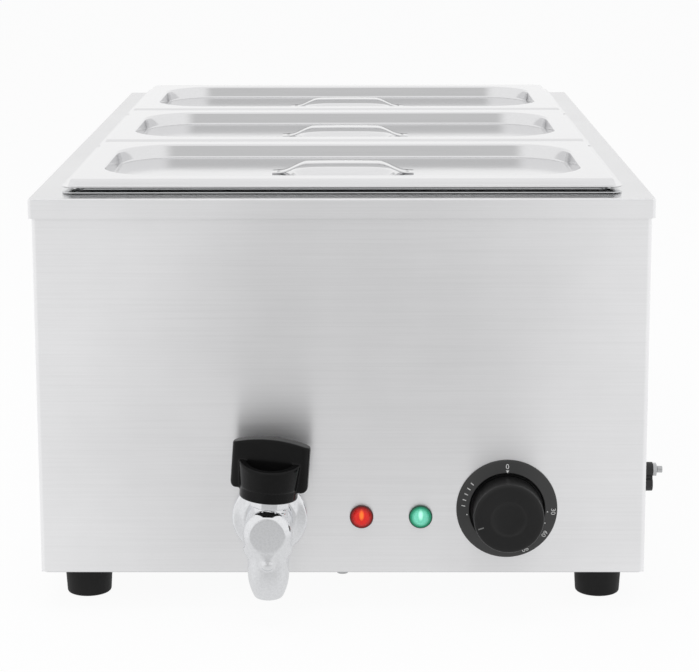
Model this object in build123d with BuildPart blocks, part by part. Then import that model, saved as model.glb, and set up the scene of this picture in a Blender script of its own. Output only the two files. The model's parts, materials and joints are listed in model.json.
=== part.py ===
from build123d import *
import math
import os

os.makedirs("parts", exist_ok=True)

# A countertop bain marie: a steel water bath with three lidded pans, warmed by an
# element in the water, with a thermostat, two lamps and a drain tap on its front.
# Millimetres, +Z up, front towards -Y. The origin lies on the table, under the
# middle of the whole object's box.

# Sheet metal
sheet = 0.8
fit_gap = 0.08
hem_gap = 0.1
bend_radius = 2.5

# Food pans, gastronorm size 1/3
pan_length = 325.0
pan_width = 176.0
pan_depth = 150.0
pan_gap = 0.7
pan_count = 3
pan_corner = 7.0
pan_lip = 3.6
pan_side_clearance = 2.0
pan_draft = 5.0
pan_body_corner = 24.0
pan_foot_radius = 12.0
pan_shoulder_depth = 25.0
pan_shoulder_step = 2.5

# Lids
lid_plateau_height = 4.0
lid_plateau_inset = 4.0
lid_plateau_corner = 3.0
lid_border = 15.5
lid_dish_depth = 8.5
lid_dish_corner = 38.0
lid_dish_slope = 3.5
lid_hollow_length = 62.0
lid_hollow_width = 44.0
lid_hollow_depth = 8.0
lid_hollow_slope = 5.0
lid_hollow_corner = 21.0
strap_length = 87.0
strap_width = 13.0
strap_thickness = 1.0
strap_rise = 6.0
strap_foot = 11.0

# Well, water tank and casing
flange_bearing = 8.0
well_corner = 12.0
tank_flange = 10.0
tank_fold = 2.2
water_space = 54.7
under_gap = 21.0
side_gap = 21.7
end_gap = 20.5
return_width = 12.0
skirt_height = 11.5
hem_height = 7.0
frame_corner = 2.0
frame_edge = 1.2

# Feet
foot_height = 22.4
foot_top_radius = 14.6
foot_bottom_radius = 13.2
foot_side_inset = 23.8
foot_end_inset = 35.0
foot_recess_radius = 4.6
foot_recess_depth = 10.0

# Screws and nuts
screw_radius = 1.6
screw_head_radius = 3.2
screw_head_height = 1.8
screw_edge = 6.0
screw_reach = 3.2
screw_tail = 1.0
base_screw_spread = 0.6
foot_screw_radius = 2.5
foot_screw_head_height = 2.4
foot_nut_flats = 8.0
foot_nut_height = 4.0

# Vents
vent_length = 40.0
vent_width = 4.0
vent_columns = 3
vent_rows = 4
vent_pitch_x = 75.0
vent_pitch_z = 12.0
vent_pitch_y = 90.0
vent_drop = 40.0

# Front panel layout: the dial is set in from the right side, and the lamps from the dial
tap_side = -42.5
tap_rise = 34.0
dial_inset = 81.4
dial_rise = 38.8
lamp_gap = 50.5
lamp_spacing = 34.6
lamp_rise = 34.0

# Drain tap
tap_lean = 4.2
tail_radius = 8.3
tail_bore = 5.0
tap_seal_thickness = 1.2
tap_seal_radius = 19.0
rosette_radius = 22.2
rosette_thickness = 3.4
rosette_edge = 1.6
shank_radius = 10.4
shank_length = 7.0
barrel_radius = 13.7
barrel_shoulder = 2.5
barrel_front = 38.0
barrel_disc_radius = 10.8
barrel_bevel = 3.2
stem_ahead = 24.0
teardrop_reach = 14.6
teardrop_spread = 30.0
spout_radius = 12.0
spout_tip_radius = 7.8
spout_straight = 26.2
spout_reach = 40.8
spout_bore = 5.6
pip_radius = 4.3
pip_drop = 17.6
pip_depth = 1.4
chamber_radius = 7.0
chamber_reach = 9.6
collar_radius = 10.6
collar_height = 14.2
bonnet_flats = 21.8
bonnet_sides = 8
bonnet_height = 4.9
plug_stem_radius = 4.5
plug_port_radius = 4.0
socket_wall = 2.7
socket_gap = 1.0
locknut_flats = 24.0
locknut_height = 5.0

# Tap handle
handle_turn = -6.0
handle_open_turn = -84.0
handle_gap = 0.3
hub_radius = 16.2
hub_foot = 6.6
hub_top_radius = 17.8
hub_height = 22.0
hub_wall = 1.8
hub_pocket = 12.4
hub_dip = 3.3
bar_length = 42.4
bar_thickness = 9.0
bar_bottom = 4.8
bar_top = 34.6
bar_crown = 3.3
bar_corner = 3.5
handle_screw_radius = 2.0
handle_screw_height = 6.0

# Thermostat
bezel_radius = 29.7
bezel_thickness = 3.0
bezel_bore = 19.0
bezel_edge = 0.8
knob_radius = 20.5
knob_gap = 0.6
knob_front = 22.0
knob_edge = 1.6
knob_dish_radius = 10.0
knob_dish_depth = 1.0
knob_wall = 3.0
knob_boss_radius = 6.0
knob_cavity_depth = 12.0
pointer_turn = 251.5
pointer_length = 3.4
pointer_width = 1.2
pointer_height = 0.4
spindle_radius = 3.0
spindle_hole_radius = 5.0
thermostat_width = 36.0
thermostat_height = 40.0
thermostat_depth = 16.0
thermostat_screw_spacing = 28.0
thermostat_blade_length = 3.0
bulb_radius = 3.0
bulb_length = 90.0
bulb_setback = 40.0
capillary_radius = 0.9
capillary_bend = 2.5
capillary_drop = 7.0
bulb_clip_wing = 9.0

# Lamps
lamp_rim_radius = 6.95
lamp_rim_height = 2.0
lamp_dome_radius = 5.3
lamp_dome_height = 4.2
lamp_dome_crown = 0.75
lamp_body_radius = 5.3
lamp_body_length = 15.0
lamp_clip_radius = 8.0
lamp_clip_thickness = 2.0
lamp_blade_length = 4.0
lamp_blade_width = 2.8
lamp_blade_spacing = 5.0

# Heating element
element_radius = 4.0
element_lift = 12.0
element_bend = 20.0
element_left = -130.0
element_inner_left = -90.0
element_right = 130.0
element_inner_right = 60.0
element_back = 215.0
element_inner_back = 150.0
element_front = -215.0
element_stub = 10.0
element_pin_radius = 1.5
element_pin_length = 5.0
element_seal_radius = 9.0
element_seal_thickness = 1.5
element_nut_flats = 15.0
element_nut_height = 5.0
bracket_width = 12.0
bracket_wall = 2.0

# Bonding terminal on the right side
bonding_setback = 20.0
bonding_rise = 52.4
bonding_lobe_radius = 4.35
bonding_lobe_spacing = 8.7
bonding_thickness = 6.1
bonding_stud_radius = 2.0
bonding_stud_reach = 11.8
bonding_stud_inside = 9.0
bonding_groove_width = 0.5
bonding_groove_depth = 0.25
bonding_nut_flats = 7.0
bonding_nut_height = 2.2

# Cable gland and terminal block
gland_side = 105.0
gland_rise = 36.0
gland_bore = 4.2
gland_radius = 9.0
gland_flats = 19.0
gland_flange = 3.0
gland_reach = 16.0
gland_inside = 8.0
gland_nut_flats = 22.0
gland_nut_height = 4.0
gland_taper = 8.0
block_length = 46.0
block_width = 22.0
block_height = 13.0
block_side = 60.0
block_setback = 70.0
block_ways = 3
block_well = 4.3
cutout_radius = 9.0
cutout_height = 8.0
cutout_side = 70.0
wire_radius = 1.2
wire_bend = 5.0
wire_pitch = 3.6
wire_ramp = 20.0

# Heights above the table
casing_bottom = foot_height + sheet
tank_bottom = casing_bottom + under_gap
tank_floor = tank_bottom + sheet
frame_top = tank_floor + water_space + pan_depth - pan_lip
casing_top = frame_top - sheet
casing_height = casing_top - casing_bottom
pan_rim_top = frame_top + pan_lip
lid_flange_top = pan_rim_top + sheet
lid_top = lid_flange_top + lid_plateau_height
dish_floor = lid_top - lid_dish_depth
element_z = tank_floor + element_lift
tap_z = casing_bottom + tap_rise
lamp_z = casing_bottom + lamp_rise
dial_z = casing_bottom + dial_rise

# Widths and depths
pan_pitch = pan_width + pan_gap
well_width = pan_length - 2 * flange_bearing
well_depth = (pan_count - 1) * pan_pitch + pan_width - 2 * flange_bearing
tank_width = well_width + 2 * sheet
tank_depth = well_depth + 2 * sheet
casing_width = tank_width + 2 * side_gap + 2 * sheet
casing_depth = tank_depth + 2 * end_gap + 2 * sheet
frame_width = casing_width + 4 * sheet + 2 * hem_gap
frame_depth = casing_depth + 4 * sheet + 2 * hem_gap

# Places from the middle of the casing
panel_front = -casing_depth / 2
panel_back = panel_front + sheet
tank_front = -tank_depth / 2
casing_side = casing_width / 2
dial_side = casing_side - dial_inset
green_lamp_side = dial_side - lamp_gap
red_lamp_side = green_lamp_side - lamp_spacing
casing_rear = casing_depth / 2

# The middle of the casing stands off the origin, because the tap, the gland and
# the bonding stud reach past it
casing_x = (frame_width / 2 - casing_side - bonding_stud_reach) / 2
casing_y = (stem_ahead + hub_top_radius - gland_reach) / 2


def level(z):
    """A flat plane at a height, centred on the casing."""
    return Plane(origin=(casing_x, casing_y, z))


def facing(y, x=0, z=0):
    """An upright plane that faces the front: local x runs right and local y up."""
    return Plane(origin=(casing_x + x, casing_y + y, z), x_dir=(1, 0, 0), z_dir=(0, -1, 0))


def sideways(x, y=0, z=0):
    """An upright plane that faces right: local x runs back and local y up."""
    return Plane(origin=(casing_x + x, casing_y + y, z), x_dir=(0, 1, 0), z_dir=(1, 0, 0))


def turned(plane, angle):
    """The same plane, turned about its own normal."""
    return Plane(plane.location * Rotation(0, 0, angle))


def front_axis(x, z):
    """A line from front to back through a place on the front panel."""
    return Axis((casing_x + x, casing_y, z), (0, 1, 0))


def drawn_block(width, length, corner, top, depth, slope=0, fold=0):
    """A block with rounded corners that narrows downwards from its top plane, and has
    a rounded fold round its bottom."""
    with BuildPart() as block:
        with BuildSketch(top):
            RectangleRounded(width, length, corner)
        with BuildSketch(top.offset(-depth)):
            RectangleRounded(width - 2 * slope, length - 2 * slope, corner - slope)
        loft()
        if fold:
            fillet(block.edges().group_by(Axis.Z)[0], radius=fold)
    return block.part


def round_screws(places, radius, head_radius, head_height, reach):
    """Screws with flat round heads: each head stands on its plane, its shank goes down."""
    with BuildPart() as screws:
        for place in places:
            with BuildSketch(place):
                Circle(head_radius)
            extrude(amount=head_height)
            with BuildSketch(place):
                Circle(radius)
            extrude(amount=-reach)
    return screws


def hex_nuts(places, flats, height, bore, sides=6):
    """Nuts that stand on their planes, each with a plain bore."""
    with BuildPart() as nuts:
        for place in places:
            with BuildSketch(place):
                RegularPolygon(radius=flats / 2, side_count=sides, major_radius=False)
                Circle(bore, mode=Mode.SUBTRACT)
            extrude(amount=height)
    return nuts


# Places of the fasteners
foot_spots = [
    (side * (casing_side - foot_side_inset), end * (casing_rear - foot_end_inset))
    for side in (-1, 1)
    for end in (-1, 1)
]
base_screw_spots = [
    (side * (casing_side - screw_edge), row * (casing_rear - foot_end_inset) * base_screw_spread)
    for side in (-1, 1)
    for row in (-1, 0, 1)
]
base_screw_spots += [(0, end * (casing_rear - sheet - screw_edge)) for end in (-1, 1)]
rear_screw_rise = casing_height / 2 - 2 * screw_edge - skirt_height
rear_screw_spots = [
    (side * (casing_side - screw_edge - sheet), row * rear_screw_rise)
    for side in (-1, 1)
    for row in (-1, 0, 1)
]
casing_middle = casing_bottom + casing_height / 2

# Casing: front and sides in one bent sheet, with a narrow fold all round
casing_inner_width = casing_width - 2 * return_width
casing_inner_depth = casing_depth - sheet - 2 * return_width
with BuildPart() as casing:
    with BuildSketch(level(casing_bottom)) as wrap:
        with Locations((0, -sheet / 2)):
            Rectangle(casing_width, casing_depth - sheet)
        fillet(wrap.vertices().group_by(Axis.Y)[0], radius=bend_radius)
        offset(amount=-sheet, mode=Mode.SUBTRACT)
    extrude(amount=casing_height)
    with BuildSketch(level(casing_bottom)):
        with Locations((0, -sheet / 2)):
            Rectangle(casing_width - sheet, casing_depth - 2 * sheet)
            Rectangle(casing_inner_width, casing_inner_depth, mode=Mode.SUBTRACT)
    extrude(amount=sheet)
    with BuildSketch(facing(casing_rear, 0, casing_middle)):
        Rectangle(casing_inner_width, casing_height - 2 * return_width)
    extrude(amount=3 * sheet, mode=Mode.SUBTRACT)
    with Locations(facing(panel_front, tap_side, tap_z)):
        Hole(radius=tail_radius + fit_gap, depth=2 * sheet)
    for lamp_side in (red_lamp_side, green_lamp_side):
        with Locations(facing(panel_front, lamp_side, lamp_z)):
            Hole(radius=lamp_body_radius + fit_gap, depth=2 * sheet)
    with Locations(facing(panel_front, dial_side, dial_z)):
        Hole(radius=spindle_hole_radius, depth=2 * sheet)
    for screw_x in (-thermostat_screw_spacing / 2, thermostat_screw_spacing / 2):
        with Locations(facing(panel_front, dial_side + screw_x, dial_z)):
            Hole(radius=screw_radius + fit_gap, depth=2 * sheet)
    with Locations(sideways(casing_side, panel_front + bonding_setback, casing_bottom + bonding_rise)):
        with Locations((0, bonding_lobe_spacing / 2)):
            Hole(radius=bonding_stud_radius + fit_gap, depth=2 * sheet)
    with Locations(level(casing_bottom + sheet)):
        with Locations(*base_screw_spots):
            Hole(radius=screw_radius + fit_gap, depth=2 * sheet)
    with Locations(facing(casing_rear, 0, casing_middle)):
        with Locations(*rear_screw_spots):
            Hole(radius=screw_radius + fit_gap, depth=3 * sheet)
casing.part.label = "casing"
export_step(casing.part, "parts/casing.step")

# Rear panel: a flat plate on the casing's folds, with vents and the gland's hole
with BuildPart() as rear_panel:
    with BuildSketch(facing(casing_rear, 0, casing_middle)):
        RectangleRounded(casing_width - 2 * sheet, casing_height - 2 * sheet, bend_radius)
        with Locations((0, casing_height / 2 - skirt_height - vent_drop)):
            with GridLocations(vent_pitch_x, vent_pitch_z, vent_columns, vent_rows):
                SlotOverall(vent_length, vent_width, mode=Mode.SUBTRACT)
        with Locations((gland_side, gland_rise - casing_height / 2)):
            Circle(gland_radius + fit_gap, mode=Mode.SUBTRACT)
        with Locations(*rear_screw_spots):
            Circle(screw_radius + fit_gap, mode=Mode.SUBTRACT)
    extrude(amount=sheet)
rear_panel.part.label = "rear_panel"
export_step(rear_panel.part, "parts/rear_panel.step")

# Base plate: closes the casing from below and carries the feet
with BuildPart() as base_plate:
    with BuildSketch(level(foot_height)):
        RectangleRounded(casing_width - 4 * sheet, casing_depth - 4 * sheet, bend_radius)
        with GridLocations(vent_pitch_x, vent_pitch_y, vent_columns, vent_rows):
            SlotOverall(vent_length, vent_width, mode=Mode.SUBTRACT)
        with Locations(*foot_spots):
            Circle(foot_screw_radius + fit_gap, mode=Mode.SUBTRACT)
        with Locations(*base_screw_spots):
            Circle(screw_radius + fit_gap, mode=Mode.SUBTRACT)
    extrude(amount=sheet)
base_plate.part.label = "base_plate"
export_step(base_plate.part, "parts/base_plate.step")

# Top frame: a flat rim round the well, with a hemmed skirt over the casing
with BuildPart() as top_frame:
    with BuildSketch(level(frame_top - skirt_height)):
        RectangleRounded(frame_width, frame_depth, frame_corner)
        RectangleRounded(
            frame_width - 2 * sheet, frame_depth - 2 * sheet, frame_corner / 2, mode=Mode.SUBTRACT
        )
    extrude(amount=skirt_height)
    with BuildSketch(level(casing_top)):
        RectangleRounded(frame_width, frame_depth, frame_corner)
        RectangleRounded(well_width, well_depth, well_corner, mode=Mode.SUBTRACT)
    extrude(amount=sheet)
    with BuildSketch(level(frame_top - skirt_height)):
        RectangleRounded(frame_width - sheet, frame_depth - sheet, frame_corner)
        Rectangle(frame_width - 4 * sheet, frame_depth - 4 * sheet, mode=Mode.SUBTRACT)
    extrude(amount=hem_height)
    fillet(top_frame.faces().sort_by(Axis.Z)[-1].outer_wire().edges(), radius=frame_edge)
top_frame.part.label = "top_frame"
export_step(top_frame.part, "parts/top_frame.step")

# Water tank: hangs under the top frame by its flange
tank_outer = drawn_block(
    tank_width,
    tank_depth,
    well_corner + sheet,
    level(casing_top),
    casing_top - tank_bottom,
    fold=tank_fold + sheet,
)
tank_inner = drawn_block(
    well_width, well_depth, well_corner, level(casing_top), casing_top - tank_floor, fold=tank_fold
)
with BuildPart() as water_tank:
    add(tank_outer)
    with BuildSketch(level(casing_top - sheet)):
        RectangleRounded(
            tank_width + 2 * tank_flange, tank_depth + 2 * tank_flange, well_corner + tank_flange
        )
    extrude(amount=sheet)
    add(tank_inner, mode=Mode.SUBTRACT)
    with Locations(facing(tank_front, tap_side, tap_z)):
        Hole(radius=tail_bore, depth=2 * sheet)
    for element_x in (element_left, element_inner_left):
        with Locations(facing(tank_front, element_x, element_z)):
            Hole(radius=element_radius + fit_gap, depth=2 * sheet)
water_tank.part.label = "water_tank"
export_step(water_tank.part, "parts/water_tank.step")

# Heating element: one bent tube above the tank's floor, its ends through the front wall
element_end = tank_front - element_stub
with BuildPart() as heating_element:
    with BuildLine(level(element_z)) as element_path:
        FilletPolyline(
            (element_left, element_end),
            (element_left, element_back),
            (element_right, element_back),
            (element_right, element_front),
            (element_inner_right, element_front),
            (element_inner_right, element_inner_back),
            (element_inner_left, element_inner_back),
            (element_inner_left, element_end),
            radius=element_bend,
        )
    with BuildSketch(facing(element_end, element_left, element_z)):
        Circle(element_radius)
    sweep(path=element_path.line)
    for element_x in (element_left, element_inner_left):
        with BuildSketch(facing(element_end, element_x, element_z)):
            Circle(element_pin_radius)
        extrude(amount=element_pin_length)
heating_element.part.label = "heating_element"
export_step(heating_element.part, "parts/heating_element.step")

# Element seals and nuts, on the dry side of the tank's front wall
with BuildPart() as element_seals:
    for element_x in (element_left, element_inner_left):
        with BuildSketch(facing(tank_front, element_x, element_z)):
            Circle(element_seal_radius)
            Circle(element_radius + fit_gap, mode=Mode.SUBTRACT)
        extrude(amount=element_seal_thickness)
element_seals.part.label = "element_seals"
export_step(element_seals.part, "parts/element_seals.step")

element_nuts = hex_nuts(
    [
        facing(tank_front - element_seal_thickness, element_x, element_z)
        for element_x in (element_left, element_inner_left)
    ],
    element_nut_flats,
    element_nut_height,
    element_radius + fit_gap,
)
element_nuts.part.label = "element_nuts"
export_step(element_nuts.part, "parts/element_nuts.step")

# Element brackets: saddles that hold the tube clear of the floor
bracket_top = element_z + element_radius
bracket_spots = [
    (element_left, 0),
    (element_right, 0),
    (element_inner_right, 0),
    (element_inner_left, 0),
]
with BuildPart() as element_brackets:
    for bracket_x, bracket_y in bracket_spots:
        with BuildSketch(facing(bracket_y - bracket_width / 2, bracket_x, tank_floor)):
            with Locations((0, (bracket_top - tank_floor) / 2)):
                Rectangle(2 * element_radius + 2 * bracket_wall, bracket_top - tank_floor)
            with Locations((0, element_z - tank_floor + element_radius / 2)):
                Rectangle(2 * (element_radius + fit_gap), element_radius, mode=Mode.SUBTRACT)
            with Locations((0, element_z - tank_floor)):
                Circle(element_radius + fit_gap, mode=Mode.SUBTRACT)
        extrude(amount=-bracket_width)
element_brackets.part.label = "element_brackets"
export_step(element_brackets.part, "parts/element_brackets.step")

# Drain socket: a threaded tube on the tank's front wall that takes the tap's tail
socket_radius = tail_radius + socket_wall
socket_length = end_gap - locknut_height - socket_gap
with BuildPart() as drain_socket:
    with BuildSketch(facing(tank_front, tap_side, tap_z)):
        Circle(socket_radius)
        Circle(tail_radius + fit_gap, mode=Mode.SUBTRACT)
    extrude(amount=socket_length)
drain_socket.part.label = "drain_socket"
export_step(drain_socket.part, "parts/drain_socket.step")

# Tap seal and rosette, between the panel and the tap's shank
with BuildPart() as tap_seal:
    with BuildSketch(facing(panel_front, tap_side, tap_z)):
        Circle(tap_seal_radius)
        Circle(tail_radius + fit_gap, mode=Mode.SUBTRACT)
    extrude(amount=tap_seal_thickness)
tap_seal.part.label = "tap_seal"
export_step(tap_seal.part, "parts/tap_seal.step")

rosette_back = panel_front - tap_seal_thickness
with BuildPart() as tap_rosette:
    with BuildSketch(facing(rosette_back, tap_side, tap_z)):
        Circle(rosette_radius)
        Circle(tail_radius + fit_gap, mode=Mode.SUBTRACT)
    extrude(amount=rosette_thickness)
    rosette_circles = tap_rosette.edges().filter_by(GeomType.CIRCLE)
    rosette_rim = rosette_circles.group_by(SortBy.RADIUS)[-1].sort_by(Axis.Y)[0]
    fillet(rosette_rim, radius=rosette_edge)
tap_rosette.part.label = "tap_rosette"
export_step(tap_rosette.part, "parts/tap_rosette.step")

tap_locknut = hex_nuts(
    [facing(panel_back + locknut_height, tap_side, tap_z)],
    locknut_flats,
    locknut_height,
    tail_radius + fit_gap,
)
tap_locknut.part.label = "tap_locknut"
export_step(tap_locknut.part, "parts/tap_locknut.step")

# The tap's stem leans a little to the right of upright
stem_direction = Vector(math.sin(math.radians(tap_lean)), 0, math.cos(math.radians(tap_lean)))
stem_foot = Vector(casing_x + tap_side, casing_y + panel_front - stem_ahead, tap_z)
stem_axis = Axis(stem_foot, stem_direction)


def stem_level(height, turn=0):
    """A plane square to the tap's stem, at a height above the barrel's middle."""
    flat = Plane(
        origin=stem_foot + stem_direction * height,
        x_dir=(stem_direction.Z, 0, -stem_direction.X),
        z_dir=stem_direction,
    )
    return turned(flat, turn)


# Tap body: tail, barrel and spout in one casting, hollow for the plug and the water
tail_end = sheet + end_gap - socket_gap
shank_start = tap_seal_thickness + rosette_thickness
barrel_start = shank_start + shank_length
pip_front = stem_ahead + spout_radius + pip_depth
teardrop_x = barrel_disc_radius * math.cos(math.radians(teardrop_spread))
teardrop_y = barrel_disc_radius * math.sin(math.radians(teardrop_spread))
with BuildPart() as tap_body:
    with BuildSketch(sideways(tap_side, panel_front, tap_z)):
        with BuildLine():
            Polyline(
                (tail_end, 0),
                (tail_end, tail_radius),
                (-shank_start, tail_radius),
                (-shank_start, shank_radius),
                (-barrel_start, shank_radius),
                (-barrel_start - barrel_shoulder, barrel_radius),
                (-barrel_front + barrel_bevel, barrel_radius),
                (-barrel_front, barrel_disc_radius),
                (-barrel_front, 0),
                close=True,
            )
        make_face()
    revolve(axis=front_axis(tap_side, tap_z))
    with BuildSketch(facing(panel_front - stem_ahead, tap_side, tap_z)):
        with BuildLine():
            spout_wall = Line((spout_radius, 0), (spout_radius, -spout_straight))
            spout_curve = TangentArc(
                spout_wall @ 1, (spout_tip_radius, -spout_reach), tangent=spout_wall % 1
            )
            Polyline(spout_curve @ 1, (0, -spout_reach), (0, 0), spout_wall @ 0)
        make_face()
    revolve(axis=Axis(stem_foot, (0, 0, 1)))
    with BuildSketch(facing(panel_front - barrel_front, tap_side, tap_z)):
        with BuildLine():
            Polyline(
                (-teardrop_x, -teardrop_y),
                (0, -teardrop_reach),
                (teardrop_x, -teardrop_y),
                (0, 0),
                close=True,
            )
        make_face()
    extrude(amount=-(barrel_front - stem_ahead))
    with BuildSketch(facing(panel_front - pip_front, tap_side, tap_z - pip_drop)):
        Circle(pip_radius)
    extrude(amount=-spout_radius)
    with BuildSketch(stem_level(0)):
        Circle(collar_radius)
    extrude(amount=collar_height)
    with BuildSketch(stem_level(-chamber_reach)):
        Circle(chamber_radius + fit_gap)
    extrude(amount=collar_height + chamber_reach, mode=Mode.SUBTRACT)
    with BuildSketch(facing(panel_front + tail_end, tap_side, tap_z)):
        Circle(tail_bore)
    extrude(amount=tail_end + stem_ahead, mode=Mode.SUBTRACT)
    with BuildSketch(Plane(origin=stem_foot)):
        Circle(spout_bore)
    extrude(amount=-spout_reach, mode=Mode.SUBTRACT)
tap_body.part.label = "tap_body"
export_step(tap_body.part, "parts/tap_body.step")

# Tap bonnet: an eight-sided nut that keeps the plug in its chamber
tap_bonnet = hex_nuts(
    [stem_level(collar_height, 180 / bonnet_sides)],
    bonnet_flats,
    bonnet_height,
    plug_stem_radius + fit_gap,
    sides=bonnet_sides,
)
tap_bonnet.part.label = "tap_bonnet"
export_step(tap_bonnet.part, "parts/tap_bonnet.step")

# Tap plug: its side port meets the tail's bore only when the handle is opened
hub_bottom = collar_height + bonnet_height + handle_gap
plug_top = hub_bottom + hub_height - hub_pocket - hub_wall
with BuildPart() as tap_plug:
    with BuildSketch(stem_level(-chamber_reach + fit_gap)):
        Circle(chamber_radius)
    extrude(amount=collar_height + chamber_reach - 2 * fit_gap)
    with BuildSketch(stem_level(0)):
        Circle(plug_stem_radius)
    extrude(amount=plug_top)
    with BuildSketch(stem_level(-chamber_reach)):
        Circle(plug_port_radius)
    extrude(amount=chamber_reach, mode=Mode.SUBTRACT)
    port_plane = Plane(
        origin=stem_foot,
        x_dir=stem_direction,
        z_dir=Vector(0, 1, 0).rotate(Axis.Z, -handle_open_turn),
    )
    with BuildSketch(port_plane):
        Circle(plug_port_radius)
    extrude(amount=2 * chamber_radius, mode=Mode.SUBTRACT)
tap_plug.part.label = "tap_plug"
export_step(tap_plug.part, "parts/tap_plug.step")


# Tap handle: a flared hub with an open pocket, and a thick grip bar across it
def handle_front(ahead):
    """A plane across the handle that faces the way the grip bar faces."""
    flat = stem_level(hub_bottom, handle_turn)
    return Plane(origin=flat.origin - flat.y_dir * ahead, x_dir=flat.x_dir, z_dir=-flat.y_dir)


def handle_side(end):
    """A plane along the handle's thickness: local x runs out to one face, local y up."""
    flat = stem_level(hub_bottom, handle_turn)
    return Plane(origin=flat.origin, x_dir=flat.y_dir * end, z_dir=flat.x_dir * end)


with BuildPart() as grip_bar:
    with BuildSketch(stem_level(hub_bottom + bar_bottom, handle_turn)):
        SlotOverall(bar_length, bar_thickness)
    extrude(amount=bar_top - bar_bottom)
    with BuildSketch(handle_front(bar_thickness)):
        with BuildLine():
            Polyline(
                (-bar_length / 2, bar_top - bar_crown),
                (-bar_length / 2, bar_bottom),
                (bar_length / 2, bar_bottom),
                (bar_length / 2, bar_top - bar_crown),
            )
            ThreePointArc(
                (bar_length / 2, bar_top - bar_crown),
                (0, bar_top),
                (-bar_length / 2, bar_top - bar_crown),
            )
        bar_face = make_face()
        fillet(bar_face.vertices().group_by(Axis.Y)[0], radius=bar_corner)
    extrude(amount=-2 * bar_thickness, mode=Mode.INTERSECT)

rim_low = hub_height - hub_dip
rim_slope = hub_dip / (hub_top_radius - bar_thickness / 2)
rim_out = 2 * hub_top_radius
rim_end = hub_height - rim_slope * (rim_out - bar_thickness / 2)
with BuildPart() as tap_handle:
    with BuildSketch(stem_level(hub_bottom, handle_turn)):
        Circle(hub_radius)
    extrude(amount=hub_foot)
    with BuildSketch(stem_level(hub_bottom + hub_foot, handle_turn)):
        Circle(hub_radius)
    with BuildSketch(stem_level(hub_bottom + rim_low, handle_turn)):
        Circle(hub_top_radius)
    loft()
    with BuildSketch(stem_level(hub_bottom + rim_low, handle_turn)):
        Circle(hub_top_radius)
    extrude(amount=hub_dip)
    with BuildSketch(stem_level(hub_bottom + hub_height, handle_turn)):
        Circle(hub_radius - hub_wall)
    extrude(amount=-hub_pocket, mode=Mode.SUBTRACT)
    for end in (-1, 1):
        with BuildSketch(handle_side(end)):
            with BuildLine():
                Polyline(
                    (bar_thickness / 2, hub_height),
                    (rim_out, rim_end),
                    (rim_out, hub_height),
                    close=True,
                )
            make_face()
        extrude(amount=hub_top_radius, both=True, mode=Mode.SUBTRACT)
    add(grip_bar.part)
    with BuildSketch(stem_level(hub_bottom)):
        Circle(plug_stem_radius + fit_gap)
    extrude(amount=plug_top - hub_bottom, mode=Mode.SUBTRACT)
    with BuildSketch(handle_front(-hub_radius)):
        with Locations((0, handle_screw_height)):
            Circle(handle_screw_radius)
    extrude(amount=hub_radius - plug_stem_radius - fit_gap, mode=Mode.SUBTRACT)
tap_handle.part.label = "tap_handle"
export_step(tap_handle.part, "parts/tap_handle.step")

# Handle screw: a headless screw from the back of the hub on to the stem
with BuildPart() as tap_handle_screw:
    with BuildSketch(handle_front(-hub_radius + sheet)):
        with Locations((0, handle_screw_height)):
            Circle(handle_screw_radius - fit_gap)
    extrude(amount=hub_radius - plug_stem_radius - sheet - 2 * fit_gap)
tap_handle_screw.part.label = "tap_handle_screw"
export_step(tap_handle_screw.part, "parts/tap_handle_screw.step")

# Dial ring round the knob
with BuildPart() as thermostat_bezel:
    with BuildSketch(facing(panel_front, dial_side, dial_z)):
        Circle(bezel_radius)
        Circle(bezel_bore, mode=Mode.SUBTRACT)
    extrude(amount=bezel_thickness)
    bezel_circles = thermostat_bezel.edges().filter_by(GeomType.CIRCLE)
    bezel_rim = bezel_circles.group_by(SortBy.RADIUS)[-1].sort_by(Axis.Y)[0]
    fillet(bezel_rim, radius=bezel_edge)
thermostat_bezel.part.label = "thermostat_bezel"
export_step(thermostat_bezel.part, "parts/thermostat_bezel.step")

# Thermostat body behind the panel, with its spade terminals
terminal_spots = [(side * thermostat_width / 4, thermostat_height / 4) for side in (-1, 1)]
thermostat_bore_depth = thermostat_depth / 2
with BuildPart() as thermostat_body:
    with BuildSketch(facing(panel_back, dial_side, dial_z)):
        RectangleRounded(thermostat_width, thermostat_height, bend_radius)
        Circle(spindle_radius + fit_gap, mode=Mode.SUBTRACT)
    extrude(amount=-thermostat_bore_depth)
    with BuildSketch(facing(panel_back + thermostat_bore_depth, dial_side, dial_z)):
        RectangleRounded(thermostat_width, thermostat_height, bend_radius)
    extrude(amount=-(thermostat_depth - thermostat_bore_depth))
    for screw_x in (-thermostat_screw_spacing / 2, thermostat_screw_spacing / 2):
        with Locations(facing(panel_back, dial_side + screw_x, dial_z)):
            Hole(radius=screw_radius, depth=thermostat_bore_depth)
    with BuildSketch(facing(panel_back + thermostat_depth, dial_side, dial_z)):
        with Locations(*terminal_spots):
            Rectangle(2 * lamp_blade_width, sheet)
    extrude(amount=-thermostat_blade_length)
thermostat_body.part.label = "thermostat_body"
export_step(thermostat_body.part, "parts/thermostat_body.step")

# Thermostat screws, hidden under the knob
thermostat_screws = round_screws(
    [
        facing(panel_front, dial_side + screw_x, dial_z)
        for screw_x in (-thermostat_screw_spacing / 2, thermostat_screw_spacing / 2)
    ],
    screw_radius,
    screw_head_radius,
    screw_head_height,
    sheet + thermostat_bore_depth - screw_tail,
)
thermostat_screws.part.label = "thermostat_screws"
export_step(thermostat_screws.part, "parts/thermostat_screws.step")

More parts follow.
